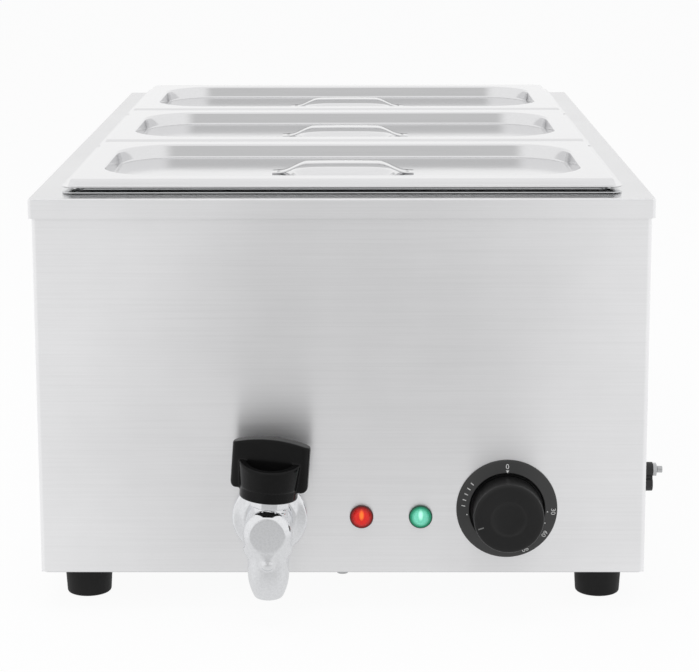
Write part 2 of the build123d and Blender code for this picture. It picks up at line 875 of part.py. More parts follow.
# Thermostat spindle, turned by the knob
knob_back = bezel_thickness + knob_gap
spindle_front = knob_front - knob_dish_depth - knob_wall
with BuildPart() as thermostat_spindle:
    with BuildSketch(facing(panel_front - spindle_front, dial_side, dial_z)):
        Circle(spindle_radius)
    extrude(amount=-(spindle_front + sheet + thermostat_bore_depth - fit_gap))
thermostat_spindle.part.label = "thermostat_spindle"
export_step(thermostat_spindle.part, "parts/thermostat_spindle.step")

# Thermostat knob: hollow, with a dished face and a raised pointer line
pointer_start = knob_radius - knob_edge - pointer_length
with BuildPart() as thermostat_knob:
    with BuildSketch(facing(panel_front - knob_back, dial_side, dial_z)):
        Circle(knob_radius)
    extrude(amount=knob_front - knob_back)
    fillet(thermostat_knob.edges().group_by(Axis.Y)[0], radius=knob_edge)
    with BuildSketch(facing(panel_front - knob_front, dial_side, dial_z)):
        Circle(knob_dish_radius)
    extrude(amount=-knob_dish_depth, mode=Mode.SUBTRACT)
    with BuildSketch(facing(panel_front - knob_back, dial_side, dial_z)):
        Circle(knob_radius - knob_wall)
        Circle(knob_boss_radius, mode=Mode.SUBTRACT)
    extrude(amount=knob_cavity_depth, mode=Mode.SUBTRACT)
    with BuildSketch(facing(panel_front - knob_back, dial_side, dial_z)):
        Circle(spindle_radius + fit_gap)
    extrude(amount=spindle_front - knob_back, mode=Mode.SUBTRACT)
    pointer_plane = turned(facing(panel_front - knob_front, dial_side, dial_z), -pointer_turn)
    with BuildSketch(pointer_plane):
        with Locations((0, pointer_start + pointer_length / 2)):
            Rectangle(pointer_width, pointer_length)
    extrude(amount=pointer_height)
thermostat_knob.part.label = "thermostat_knob"
export_step(thermostat_knob.part, "parts/thermostat_knob.step")

# Thermostat bulb under the tank's floor, with its thin tube to the body
bulb_z = tank_bottom - bulb_radius - fit_gap
bulb_start = tank_front + bulb_setback
tube_start_y = panel_back + thermostat_bore_depth
tube_start_z = dial_z - thermostat_height / 2
tube_low_z = tube_start_z - capillary_drop
with BuildPart() as thermostat_bulb:
    with BuildLine(sideways(dial_side)) as tube_path:
        FilletPolyline(
            (tube_start_y, tube_start_z),
            (tube_start_y, tube_low_z),
            (bulb_start - 3 * bulb_radius, tube_low_z),
            (bulb_start - bulb_radius, bulb_z),
            (bulb_start + bulb_radius, bulb_z),
            radius=capillary_bend,
        )
    with BuildSketch(Plane(origin=(casing_x + dial_side, casing_y + tube_start_y, tube_start_z))):
        Circle(capillary_radius)
    sweep(path=tube_path.line)
    with BuildSketch(facing(bulb_start, dial_side, bulb_z)):
        Circle(bulb_radius)
    extrude(amount=-bulb_length)
thermostat_bulb.part.label = "thermostat_bulb"
export_step(thermostat_bulb.part, "parts/thermostat_bulb.step")

# Bulb clip: a bent strip spot-welded under the tank, round the bulb
clip_inner = 2 * (bulb_radius + fit_gap)
with BuildPart() as bulb_clip:
    with BuildSketch(facing(bulb_start + bulb_length / 2, dial_side, tank_bottom)):
        with Locations((0, -sheet / 2)):
            Rectangle(clip_inner + 2 * bulb_clip_wing, sheet)
        with Locations((0, -(clip_inner + sheet) / 2)):
            Rectangle(clip_inner + 2 * sheet, clip_inner + sheet)
        with Locations((0, -clip_inner / 2)):
            Rectangle(clip_inner, clip_inner, mode=Mode.SUBTRACT)
    extrude(amount=bracket_width / 2, both=True)
bulb_clip.part.label = "bulb_clip"
export_step(bulb_clip.part, "parts/bulb_clip.step")

# Pilot lamps: a coloured lens on the panel, its body and its spring clip behind
lamp_dome_middle = lamp_rim_height + lamp_dome_crown * (lamp_dome_height - lamp_rim_height)
for lamp_name, lamp_side in (("red", red_lamp_side), ("green", green_lamp_side)):
    with BuildPart() as lamp_lens:
        with BuildSketch(sideways(lamp_side, panel_front, lamp_z)):
            with BuildLine():
                Polyline(
                    (-lamp_rim_height, lamp_dome_radius),
                    (-lamp_rim_height, lamp_rim_radius),
                    (0, lamp_rim_radius),
                    (0, 0),
                    (-lamp_dome_height, 0),
                )
                ThreePointArc(
                    (-lamp_dome_height, 0),
                    (-lamp_dome_middle, lamp_dome_radius / 2),
                    (-lamp_rim_height, lamp_dome_radius),
                )
            make_face()
        revolve(axis=front_axis(lamp_side, lamp_z))
    lamp_lens.part.label = f"{lamp_name}_lamp_lens"
    export_step(lamp_lens.part, f"parts/{lamp_name}_lamp_lens.step")

    with BuildPart() as lamp_body:
        with BuildSketch(facing(panel_front, lamp_side, lamp_z)):
            Circle(lamp_body_radius)
        extrude(amount=-lamp_body_length)
        with BuildSketch(facing(panel_front + lamp_body_length, lamp_side, lamp_z)):
            with GridLocations(lamp_blade_spacing, 0, 2, 1):
                Rectangle(sheet, lamp_blade_width)
        extrude(amount=-lamp_blade_length)
    lamp_body.part.label = f"{lamp_name}_lamp_body"
    export_step(lamp_body.part, f"parts/{lamp_name}_lamp_body.step")

with BuildPart() as lamp_clips:
    for lamp_side in (red_lamp_side, green_lamp_side):
        with BuildSketch(facing(panel_back, lamp_side, lamp_z)):
            Circle(lamp_clip_radius)
            Circle(lamp_body_radius + fit_gap, mode=Mode.SUBTRACT)
        extrude(amount=-lamp_clip_thickness)
lamp_clips.part.label = "lamp_clips"
export_step(lamp_clips.part, "parts/lamp_clips.step")

# Bonding terminal: a two-lobed insulator, its stud and its nuts
bonding_z = casing_bottom + bonding_rise
bonding_y = panel_front + bonding_setback
stud_z = bonding_z + bonding_lobe_spacing / 2
with BuildPart() as bonding_plate:
    with BuildSketch(sideways(casing_side, bonding_y, bonding_z)):
        with Locations((0, bonding_lobe_spacing / 2), (0, -bonding_lobe_spacing / 2)):
            Circle(bonding_lobe_radius)
        Rectangle(bonding_lobe_radius, bonding_lobe_spacing)
        with Locations((0, bonding_lobe_spacing / 2)):
            Circle(bonding_stud_radius + fit_gap, mode=Mode.SUBTRACT)
    extrude(amount=bonding_thickness)
bonding_plate.part.label = "bonding_plate"
export_step(bonding_plate.part, "parts/bonding_plate.step")

with BuildPart() as bonding_stud:
    with BuildSketch(sideways(casing_side + bonding_stud_reach, bonding_y, stud_z)):
        Circle(bonding_stud_radius)
    extrude(amount=-(bonding_stud_reach + bonding_stud_inside))
    with BuildSketch(sideways(casing_side + bonding_thickness + bonding_nut_height, bonding_y, stud_z)):
        Circle(bonding_stud_radius)
        Circle(bonding_stud_radius - bonding_groove_depth, mode=Mode.SUBTRACT)
    extrude(amount=bonding_groove_width, mode=Mode.SUBTRACT)
bonding_stud.part.label = "bonding_stud"
export_step(bonding_stud.part, "parts/bonding_stud.step")

bonding_nuts = hex_nuts(
    [
        sideways(casing_side + bonding_thickness, bonding_y, stud_z),
        sideways(casing_side - sheet - bonding_nut_height, bonding_y, stud_z),
    ],
    bonding_nut_flats,
    bonding_nut_height,
    bonding_stud_radius + fit_gap,
)
bonding_nuts.part.label = "bonding_nuts"
export_step(bonding_nuts.part, "parts/bonding_nuts.step")

# Cable gland in the rear panel, and its nut inside
gland_z = casing_bottom + gland_rise
with BuildPart() as cable_gland:
    with BuildSketch(facing(casing_rear, gland_side, gland_z)):
        RegularPolygon(radius=gland_flats / 2, side_count=6, major_radius=False)
    extrude(amount=-gland_flange)
    with BuildSketch(facing(casing_rear + gland_flange, gland_side, gland_z)):
        Circle(gland_radius)
    extrude(amount=-(gland_reach - gland_flange), taper=gland_taper)
    with BuildSketch(facing(casing_rear, gland_side, gland_z)):
        Circle(gland_radius)
    extrude(amount=gland_inside)
    with BuildSketch(facing(casing_rear + gland_reach, gland_side, gland_z)):
        Circle(gland_bore)
    extrude(amount=gland_reach + gland_inside, mode=Mode.SUBTRACT)
cable_gland.part.label = "cable_gland"
export_step(cable_gland.part, "parts/cable_gland.step")

gland_nut = hex_nuts(
    [facing(casing_rear - sheet, gland_side, gland_z)],
    gland_nut_flats,
    gland_nut_height,
    gland_radius + fit_gap,
)
gland_nut.part.label = "gland_nut"
export_step(gland_nut.part, "parts/gland_nut.step")

# Terminal block on the base plate
block_place = (block_side, casing_rear - block_setback)
with BuildPart() as terminal_block:
    with BuildSketch(level(casing_bottom)):
        with Locations(block_place):
            Rectangle(block_length, block_width)
    extrude(amount=block_height)
    with BuildSketch(level(casing_bottom + block_height)):
        with Locations(block_place):
            with GridLocations(block_length / block_ways, block_width / 2, block_ways, 2):
                Circle(screw_head_radius)
    extrude(amount=-block_well, mode=Mode.SUBTRACT)
terminal_block.part.label = "terminal_block"
export_step(terminal_block.part, "parts/terminal_block.step")

with BuildPart() as terminal_screws:
    with BuildSketch(level(casing_bottom + block_height - block_well)):
        with Locations(block_place):
            with GridLocations(block_length / block_ways, block_width / 2, block_ways, 2):
                Circle(screw_head_radius - fit_gap)
    extrude(amount=screw_head_height)
terminal_screws.part.label = "terminal_screws"
export_step(terminal_screws.part, "parts/terminal_screws.step")

# Overheat cut-out: a round switch against the tank's underside
with BuildPart() as overheat_cutout:
    with BuildSketch(level(tank_bottom)):
        with Locations((cutout_side, 0)):
            Circle(cutout_radius)
    extrude(amount=-cutout_height)
    with BuildSketch(level(tank_bottom - cutout_height)):
        with Locations((cutout_side, 0)):
            with GridLocations(cutout_radius, 0, 2, 1):
                Rectangle(sheet, 2 * lamp_blade_width)
    extrude(amount=-lamp_blade_length)
overheat_cutout.part.label = "overheat_cutout"
export_step(overheat_cutout.part, "parts/overheat_cutout.step")

# Rubber feet, each with a deep recess for its screw
foot_taper = math.degrees(math.atan((foot_top_radius - foot_bottom_radius) / foot_height))
with BuildPart() as feet:
    with BuildSketch(level(foot_height)):
        with Locations(*foot_spots):
            Circle(foot_top_radius)
    extrude(amount=-foot_height, taper=foot_taper)
    fillet(feet.edges().group_by(Axis.Z)[0], radius=sheet)
    with BuildSketch(level(0)):
        with Locations(*foot_spots):
            Circle(foot_recess_radius)
    extrude(amount=foot_recess_depth, mode=Mode.SUBTRACT)
    with BuildSketch(level(foot_recess_depth)):
        with Locations(*foot_spots):
            Circle(foot_screw_radius + fit_gap)
    extrude(amount=foot_height - foot_recess_depth, mode=Mode.SUBTRACT)
feet.part.label = "feet"
export_step(feet.part, "parts/feet.step")

# Foot screws come up through the feet and the base plate into nuts
foot_screw_places = [
    Plane(origin=(casing_x + x, casing_y + y, foot_recess_depth), z_dir=(0, 0, -1))
    for x, y in foot_spots
]
foot_screws = round_screws(
    foot_screw_places,
    foot_screw_radius,
    foot_recess_radius - fit_gap,
    foot_screw_head_height,
    foot_height - foot_recess_depth + sheet + foot_nut_height + screw_tail,
)
foot_screws.part.label = "foot_screws"
export_step(foot_screws.part, "parts/foot_screws.step")

foot_nuts = hex_nuts(
    [Plane(origin=(casing_x + x, casing_y + y, casing_bottom)) for x, y in foot_spots],
    foot_nut_flats,
    foot_nut_height,
    foot_screw_radius + fit_gap,
)
foot_nuts.part.label = "foot_nuts"
export_step(foot_nuts.part, "parts/foot_nuts.step")

# Screws of the base plate and of the rear panel
base_screws = round_screws(
    [
        Plane(origin=(casing_x + x, casing_y + y, foot_height), z_dir=(0, 0, -1))
        for x, y in base_screw_spots
    ],
    screw_radius,
    screw_head_radius,
    screw_head_height,
    screw_reach,
)
base_screws.part.label = "base_screws"
export_step(base_screws.part, "parts/base_screws.step")

rear_screws = round_screws(
    [
        Plane(origin=(casing_x + x, casing_y + casing_rear, casing_middle + z), z_dir=(0, 1, 0))
        for x, z in rear_screw_spots
    ],
    screw_radius,
    screw_head_radius,
    screw_head_height,
    screw_reach,
)
rear_screws.part.label = "rear_screws"
export_step(rear_screws.part, "parts/rear_screws.step")

# Wiring: three wires from the terminal block to the front, along the base plate
wire_z = casing_bottom + wire_radius + fit_gap
block_front = casing_rear - block_setback - block_width / 2
with BuildPart() as wiring:
    for run in range(block_ways):
        run_x = block_side + (run - 1) * wire_pitch
        with BuildLine(sideways(run_x)) as wire_path:
            FilletPolyline(
                (block_front, wire_z + block_height / 2),
                (block_front - wire_ramp, wire_z + block_height / 2),
                (block_front - 2 * wire_ramp, wire_z),
                (tank_front + 2 * wire_bend, wire_z),
                radius=wire_bend,
            )
        with BuildSketch(Plane(origin=wire_path.line @ 0, z_dir=wire_path.line % 0)):
            Circle(wire_radius)
        sweep(path=wire_path.line)
wiring.part.label = "wiring"
export_step(wiring.part, "parts/wiring.step")


# Food pans: a flat rim with a turned-down lip, a shoulder, and a body that narrows
collar_length = pan_length - 2 * flange_bearing - 2 * pan_side_clearance
collar_width = pan_width - 2 * flange_bearing - 2 * pan_side_clearance
shoulder_z = pan_rim_top - pan_shoulder_depth
collar_corner = pan_body_corner + pan_shoulder_step
body_length = collar_length - 2 * pan_shoulder_step
body_width = collar_width - 2 * pan_shoulder_step
body_depth = pan_depth - pan_shoulder_depth
pan_names = {0: "front", 1: "middle", 2: "rear"}


def pan_level(row, z):
    """A flat plane over the middle of one pan, counted from the front."""
    return Plane(origin=(casing_x, casing_y + (row - (pan_count - 1) / 2) * pan_pitch, z))


for row in range(pan_count):
    outer_body = drawn_block(
        body_length,
        body_width,
        pan_body_corner,
        pan_level(row, shoulder_z),
        body_depth,
        slope=pan_draft,
        fold=pan_foot_radius,
    )
    inner_body = drawn_block(
        body_length - 2 * sheet,
        body_width - 2 * sheet,
        pan_body_corner - sheet,
        pan_level(row, shoulder_z),
        body_depth - sheet,
        slope=pan_draft,
        fold=pan_foot_radius - sheet,
    )
    with BuildPart() as pan:
        with BuildSketch(pan_level(row, pan_rim_top - sheet)):
            RectangleRounded(pan_length, pan_width, pan_corner)
        extrude(amount=sheet)
        with BuildSketch(pan_level(row, frame_top)):
            RectangleRounded(pan_length, pan_width, pan_corner)
            RectangleRounded(
                pan_length - 2 * sheet, pan_width - 2 * sheet, pan_corner - sheet, mode=Mode.SUBTRACT
            )
        extrude(amount=pan_lip)
        with BuildSketch(pan_level(row, shoulder_z)):
            RectangleRounded(collar_length, collar_width, collar_corner)
        extrude(amount=pan_shoulder_depth)
        add(outer_body)
        with BuildSketch(pan_level(row, shoulder_z + sheet)):
            RectangleRounded(collar_length - 2 * sheet, collar_width - 2 * sheet, collar_corner - sheet)
        extrude(amount=pan_shoulder_depth, mode=Mode.SUBTRACT)
        with BuildSketch(pan_level(row, shoulder_z)):
            RectangleRounded(body_length - 2 * sheet, body_width - 2 * sheet, pan_body_corner - sheet)
        extrude(amount=sheet, mode=Mode.SUBTRACT)
        add(inner_body, mode=Mode.SUBTRACT)
    pan.part.label = f"pan_{pan_names[row]}"
    export_step(pan.part, f"parts/pan_{pan_names[row]}.step")

# Lids: a raised border round a deep dish, and a finger hollow in the dish's middle
plateau_length = pan_length - 2 * lid_plateau_inset
plateau_width = pan_width - 2 * lid_plateau_inset
dish_length = plateau_length - 2 * lid_border
dish_width = plateau_width - 2 * lid_border

for row in range(pan_count):
    top = pan_level(row, lid_top)
    floor = pan_level(row, dish_floor)
    dish_outer = drawn_block(
        dish_length + 2 * sheet,
        dish_width + 2 * sheet,
        lid_dish_corner + sheet,
        top,
        lid_dish_depth + sheet,
        slope=lid_dish_slope,
    )
    dish_inner = drawn_block(
        dish_length, dish_width, lid_dish_corner, top, lid_dish_depth, slope=lid_dish_slope
    )
    hollow_outer = drawn_block(
        lid_hollow_length + 2 * sheet,
        lid_hollow_width + 2 * sheet,
        lid_hollow_corner + sheet,
        floor,
        lid_hollow_depth + sheet,
        slope=lid_hollow_slope,
    )
    hollow_inner = drawn_block(
        lid_hollow_length,
        lid_hollow_width,
        lid_hollow_corner,
        floor,
        lid_hollow_depth,
        slope=lid_hollow_slope,
    )
    with BuildPart() as lid:
        with BuildSketch(pan_level(row, pan_rim_top)):
            RectangleRounded(pan_length, pan_width, pan_corner)
        extrude(amount=sheet)
        with BuildSketch(pan_level(row, lid_flange_top)):
            RectangleRounded(plateau_length, plateau_width, lid_plateau_corner)
        extrude(amount=lid_plateau_height)
        fillet(lid.faces().sort_by(Axis.Z)[-1].edges(), radius=sheet)
        with BuildSketch(pan_level(row, pan_rim_top)):
            RectangleRounded(
                plateau_length - 2 * sheet, plateau_width - 2 * sheet, lid_plateau_corner - sheet
            )
        extrude(amount=lid_plateau_height, mode=Mode.SUBTRACT)
        add(dish_outer)
        add(hollow_outer)
        add(dish_inner, mode=Mode.SUBTRACT)
        add(hollow_inner, mode=Mode.SUBTRACT)
    lid.part.label = f"lid_{pan_names[row]}"
    export_step(lid.part, f"parts/lid_{pan_names[row]}.step")

# Lid handles: an arched strap over the finger hollow, its feet welded to the dish
strap_half = strap_length / 2
strap_shoulder = strap_half - strap_foot
for row in range(pan_count):
    row_y = (row - (pan_count - 1) / 2) * pan_pitch
    with BuildPart() as lid_handle:
        with BuildSketch(facing(row_y, 0, dish_floor)):
            with BuildLine():
                ThreePointArc((-strap_shoulder, 0), (0, strap_rise), (strap_shoulder, 0))
                Polyline(
                    (strap_shoulder, 0),
                    (strap_half, 0),
                    (strap_half, strap_thickness),
                    (strap_shoulder, strap_thickness),
                )
                ThreePointArc(
                    (strap_shoulder, strap_thickness),
                    (0, strap_rise + strap_thickness),
                    (-strap_shoulder, strap_thickness),
                )
                Polyline(
                    (-strap_shoulder, strap_thickness),
                    (-strap_half, strap_thickness),
                    (-strap_half, 0),
                    (-strap_shoulder, 0),
                )
            make_face()
        extrude(amount=strap_width / 2, both=True)
    lid_handle.part.label = f"lid_handle_{pan_names[row]}"
    export_step(lid_handle.part, f"parts/lid_handle_{pan_names[row]}.step")
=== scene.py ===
# %% [markdown]
# A countertop bain marie: a brushed stainless cabinet, three pans with pressed lids, a chrome drain
# tap with a black handle, two lit lamps and a thermostat dial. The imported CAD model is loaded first
# and never moved. Flat sheet parts keep their CAD shape and only get a finish. Pressed, cast and
# moulded parts, whose soft edges catch the light, are modelled again here in the same places.

# %% The frame
import json
import math
import bpy
import bmesh
import numpy as np
from mathutils import Matrix, Vector


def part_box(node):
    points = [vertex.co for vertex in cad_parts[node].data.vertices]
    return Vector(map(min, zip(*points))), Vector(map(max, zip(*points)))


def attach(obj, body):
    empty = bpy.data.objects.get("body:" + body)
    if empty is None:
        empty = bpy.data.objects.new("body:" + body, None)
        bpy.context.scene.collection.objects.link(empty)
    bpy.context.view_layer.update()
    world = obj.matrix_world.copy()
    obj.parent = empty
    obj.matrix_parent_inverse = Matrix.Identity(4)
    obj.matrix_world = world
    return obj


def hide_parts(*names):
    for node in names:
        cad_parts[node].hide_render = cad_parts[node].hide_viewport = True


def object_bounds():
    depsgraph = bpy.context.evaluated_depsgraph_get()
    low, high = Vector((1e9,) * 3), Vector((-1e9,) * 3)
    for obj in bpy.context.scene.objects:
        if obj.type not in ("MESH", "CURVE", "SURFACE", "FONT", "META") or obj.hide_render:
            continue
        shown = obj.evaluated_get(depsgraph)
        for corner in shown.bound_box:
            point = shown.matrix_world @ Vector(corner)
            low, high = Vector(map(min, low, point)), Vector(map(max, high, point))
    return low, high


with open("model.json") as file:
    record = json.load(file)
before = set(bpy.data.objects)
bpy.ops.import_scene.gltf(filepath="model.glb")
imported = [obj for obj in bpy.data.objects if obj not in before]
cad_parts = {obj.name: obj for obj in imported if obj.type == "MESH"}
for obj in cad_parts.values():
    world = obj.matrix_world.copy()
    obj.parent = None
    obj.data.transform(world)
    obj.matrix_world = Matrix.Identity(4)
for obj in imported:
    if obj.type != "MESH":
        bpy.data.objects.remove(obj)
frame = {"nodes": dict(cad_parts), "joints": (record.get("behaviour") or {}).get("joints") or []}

MM = 0.001
scene = bpy.context.scene
cad_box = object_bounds()
nodes = frame["nodes"]


def put(name, data):
    """A new object in the scene."""
    made = bpy.data.objects.new(name, data)
    scene.collection.objects.link(made)
    return made


# %% [markdown]
# The photograph was taken with a long lens from a little above the cabinet. The camera's place is
# counted from the middle of the top frame's front edge. The small upward look of the lens is a
# shift, as a cropped product photograph has, so that upright edges stay where they are.

# %% Camera
frame_low, frame_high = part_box("top_frame")
front_edge = Vector(((frame_low.x + frame_high.x) / 2, frame_low.y, frame_high.z))
camera_offset = Vector((12.3, -1206.7, 191.8)) * MM
camera_pitch, camera_yaw, camera_roll = 10.403, 0.368, -0.118
image_width, image_height = 699, 672
lens_centre_row = 250

camera = put("camera", bpy.data.cameras.new("camera"))
camera.data.sensor_width = 36.0
camera.data.lens = 110.36
camera.data.shift_y = (lens_centre_row - image_height / 2) / image_width
aim = Matrix.Rotation(math.radians(camera_yaw), 4, "Z")
aim = aim @ Matrix.Rotation(math.radians(90 - camera_pitch), 4, "X")
aim = aim @ Matrix.Rotation(math.radians(camera_roll), 4, "Z")
camera.matrix_world = Matrix.Translation(front_edge + camera_offset) @ aim
scene.camera = camera
scene.view_settings.view_transform = "Standard"
print("the camera stands", round(-camera_offset.y, 2), "m in front of the cabinet")

# %% [markdown]
# Every colour is written as a hex value, the way a paint or web colour is, and one function turns
# it to the linear light that shaders work in. One other function adds a node of any kind, sets its
# properties and fills or links its inputs, so each material below reads as a short list. What every
# material ends with, its relief and its one shader, is joined in one place too.

# %% Colours and nodes
def tone(code):
    """A hex colour as linear red, green, blue and alpha."""
    values = [int(code[place:place + 2], 16) / 255 for place in (1, 3, 5)]
    linear = [v / 12.92 if v <= 0.04045 else ((v + 0.055) / 1.055) ** 2.4 for v in values]
    return (*linear, 1.0)


def add(tree, kind, inputs=None, stops=(), **settings):
    """Adds one node. A kind that doesn't say Node is a shader node. An input is linked if its value is
    a socket or a node, whose first output is meant, and set if not. Stops fill a colour ramp."""
    made = tree.nodes.new(kind if "Node" in kind else "ShaderNode" + kind)
    for name, value in settings.items():
        setattr(made, name, value)
    for name, value in (inputs or {}).items():
        if isinstance(value, bpy.types.Node):
            value = value.outputs[0]
        if isinstance(value, bpy.types.NodeSocket):
            tree.links.new(value, made.inputs[name])
        else:
            made.inputs[name].default_value = value
    if stops:
        elements = made.color_ramp.elements
        while len(elements) < len(stops):
            elements.new(0.5)
        for element, (place, colour) in zip(elements, stops):
            element.position = place
            element.color = colour
    return made


def begin(name):
    """An empty material, its tree and the place on its object that a pattern starts from."""
    made = bpy.data.materials.new(name)
    made.use_nodes = True
    made.node_tree.nodes.clear()
    return made, made.node_tree, add(made.node_tree, "TexCoord").outputs["Object"]


def shaded(tree, colour, rough, height, depth, distance, **more):
    """Joins a material's colour, roughness and fine relief in one shader."""
    bump = add(tree, "Bump", {"Height": height, "Strength": depth, "Distance": distance})
    inputs = {"Base Color": colour, "Roughness": rough, "Normal": bump}
    inputs.update({name.replace("_", " "): value for name, value in more.items()})
    add(tree, "OutputMaterial", {"Surface": add(tree, "BsdfPrincipled", inputs)})


def around(colour, less, more):
    """A colour made a little darker and a little lighter, for an uneven surface."""
    return [tuple(min(c * share, 1.0) for c in colour[:3]) + (1.0,) for share in (less, more)]


def per_metre(size_mm):
    """How many times a pattern of this size repeats in a metre."""
    return 1000.0 / size_mm


# %% [markdown]
# A product like this is shot in a white tent: white all round, light from above, and a pale table.
# The tent is open where the camera looks in, so reflections show a greyer field straight in front.
# The world is pure white to the camera and lights the matt surfaces at a plain level. The floor
# keeps a soft shadow under the feet, and reflections show it greyer straight in front, where the
# camera stands. That grey gives chrome its drawing: without it the tap would be white on white.

# %% Studio
world = bpy.data.worlds.new("studio")
world.use_nodes = True
world.node_tree.nodes.clear()
scene.world = world
sky = world.node_tree
opening_rise = (0.42, 0.68)
opening_side = (0.12, 0.62)
opening_level = 0.68
rays = add(sky, "LightPath").outputs
seen = rays["Is Camera Ray"]
for kind in ("Is Glossy Ray", "Is Transmission Ray"):
    seen = add(sky, "Math", {0: seen, 1: rays[kind]}, operation="MAXIMUM")
matt_light = add(sky, "Background", {"Color": tone("#F7F8FA"), "Strength": 0.62})
way = add(sky, "SeparateXYZ", {0: add(sky, "TexCoord").outputs["Generated"]}).outputs
opening = add(sky, "Math", {0: way["Y"], 1: 0.0}, operation="LESS_THAN")
for part, (start, end) in (("Z", opening_rise), ("X", opening_side)):
    off = add(sky, "Math", {0: way[part]}, operation="ABSOLUTE")
    fade = add(sky, "MapRange", {
        "Value": off, "From Min": start, "From Max": end, "To Min": 1.0, "To Max": 0.0,
    }, interpolation_type="SMOOTHSTEP")
    opening = add(sky, "Math", {0: opening, 1: fade}, operation="MULTIPLY")
opening = add(sky, "Math", {0: opening, 1: rays["Is Glossy Ray"]}, operation="MULTIPLY")
level = add(sky, "MapRange", {"Value": opening, "To Min": 1.0, "To Max": opening_level})
white_tent = add(sky, "Background", {"Color": tone("#FFFFFF"), "Strength": level})
tent = add(sky, "MixShader", {0: seen, 1: matt_light, 2: white_tent})
add(sky, "OutputWorld", {"Surface": tent})


def softbox(name, place, target, size, power):
    """Sets up a square area lamp that looks at a point and isn't mirrored."""
    lamp = bpy.data.lights.new(name, "AREA")
    lamp.shape = "RECTANGLE"
    lamp.size, lamp.size_y = size
    lamp.energy = power
    made = put(name, lamp)
    made.location = place
    made.rotation_euler = (Vector(target) - Vector(place)).to_track_quat("-Z", "Y").to_euler()
    made.visible_glossy = False


middle = (cad_box[0] + cad_box[1]) / 2
softbox("overhead", (middle.x - 0.2, middle.y - 0.2, 1.9), middle, (1.6, 1.2), 13)
softbox("front", (middle.x - 0.9, middle.y - 1.9, 1.3), middle, (1.1, 1.1), 7)

floor_half = 7.0
grey_reach = 1.2
grey_strip = (0.07, 0.24)
floor_mesh = bpy.data.meshes.new("floor")
floor_corners = [(x * floor_half, y * floor_half, 0) for x, y in ((-1, -1), (1, -1), (1, 1), (-1, 1))]
floor_mesh.from_pydata(floor_corners, [], [(0, 1, 2, 3)])
floor = put("floor", floor_mesh)
paper, tree, spot = begin("white_table")
rays = add(tree, "LightPath").outputs
matt = add(tree, "BsdfDiffuse", {"Color": tone("#EDEDEE")})
white = add(tree, "Emission", {"Color": tone("#FFFFFF"), "Strength": 1.0})
share = add(tree, "Math", {0: rays["Is Camera Ray"], 1: 0.94}, operation="MULTIPLY")
seen_floor = add(tree, "MixShader", {0: share, 1: matt, 2: white})
spot = add(tree, "SeparateXYZ", {0: spot}).outputs
ahead = add(tree, "MapRange", {
    "Value": spot["Y"], "From Min": cad_box[0].y, "From Max": cad_box[0].y - grey_reach,
})
fall = add(tree, "ValToRGB", {"Fac": ahead}, stops=[
    (0.0, tone("#EEEEEE")), (0.1, tone("#D6D6D6")), (0.24, tone("#CCCCCC")), (1.0, tone("#C4C4C4")),
])
aside = add(tree, "Math", {0: spot["X"]}, operation="ABSOLUTE")
aside = add(tree, "MapRange", {
    "Value": aside, "From Min": grey_strip[0], "From Max": grey_strip[1], "To Max": 0.85,
}, interpolation_type="SMOOTHSTEP")
fall = add(tree, "Mix", {"Factor": aside, 6: fall, 7: tone("#FFFFFF")}, data_type="RGBA").outputs[2]
mirrored = add(tree, "Emission", {"Color": fall, "Strength": 1.0})
part = add(tree, "Math", {0: rays["Is Glossy Ray"], 1: 0.92}, operation="MULTIPLY")
mixed = add(tree, "MixShader", {0: part, 1: seen_floor, 2: mirrored})
add(tree, "OutputMaterial", {"Surface": mixed})
floor_mesh.materials.append(paper)

# %% [markdown]
# Brushed stainless steel has fine straight scratches from an abrasive belt. They spread a
# reflection across their own direction, so the panel shows tall soft streaks of what stands before
# it. The shader does this with its anisotropy, and the tangent says which way the light spreads:
# up and down on an upright face, and to the front and back on a level one.
# Real belt scratches are about 0.1 mm apart, too fine for the picture, so they are drawn coarser.

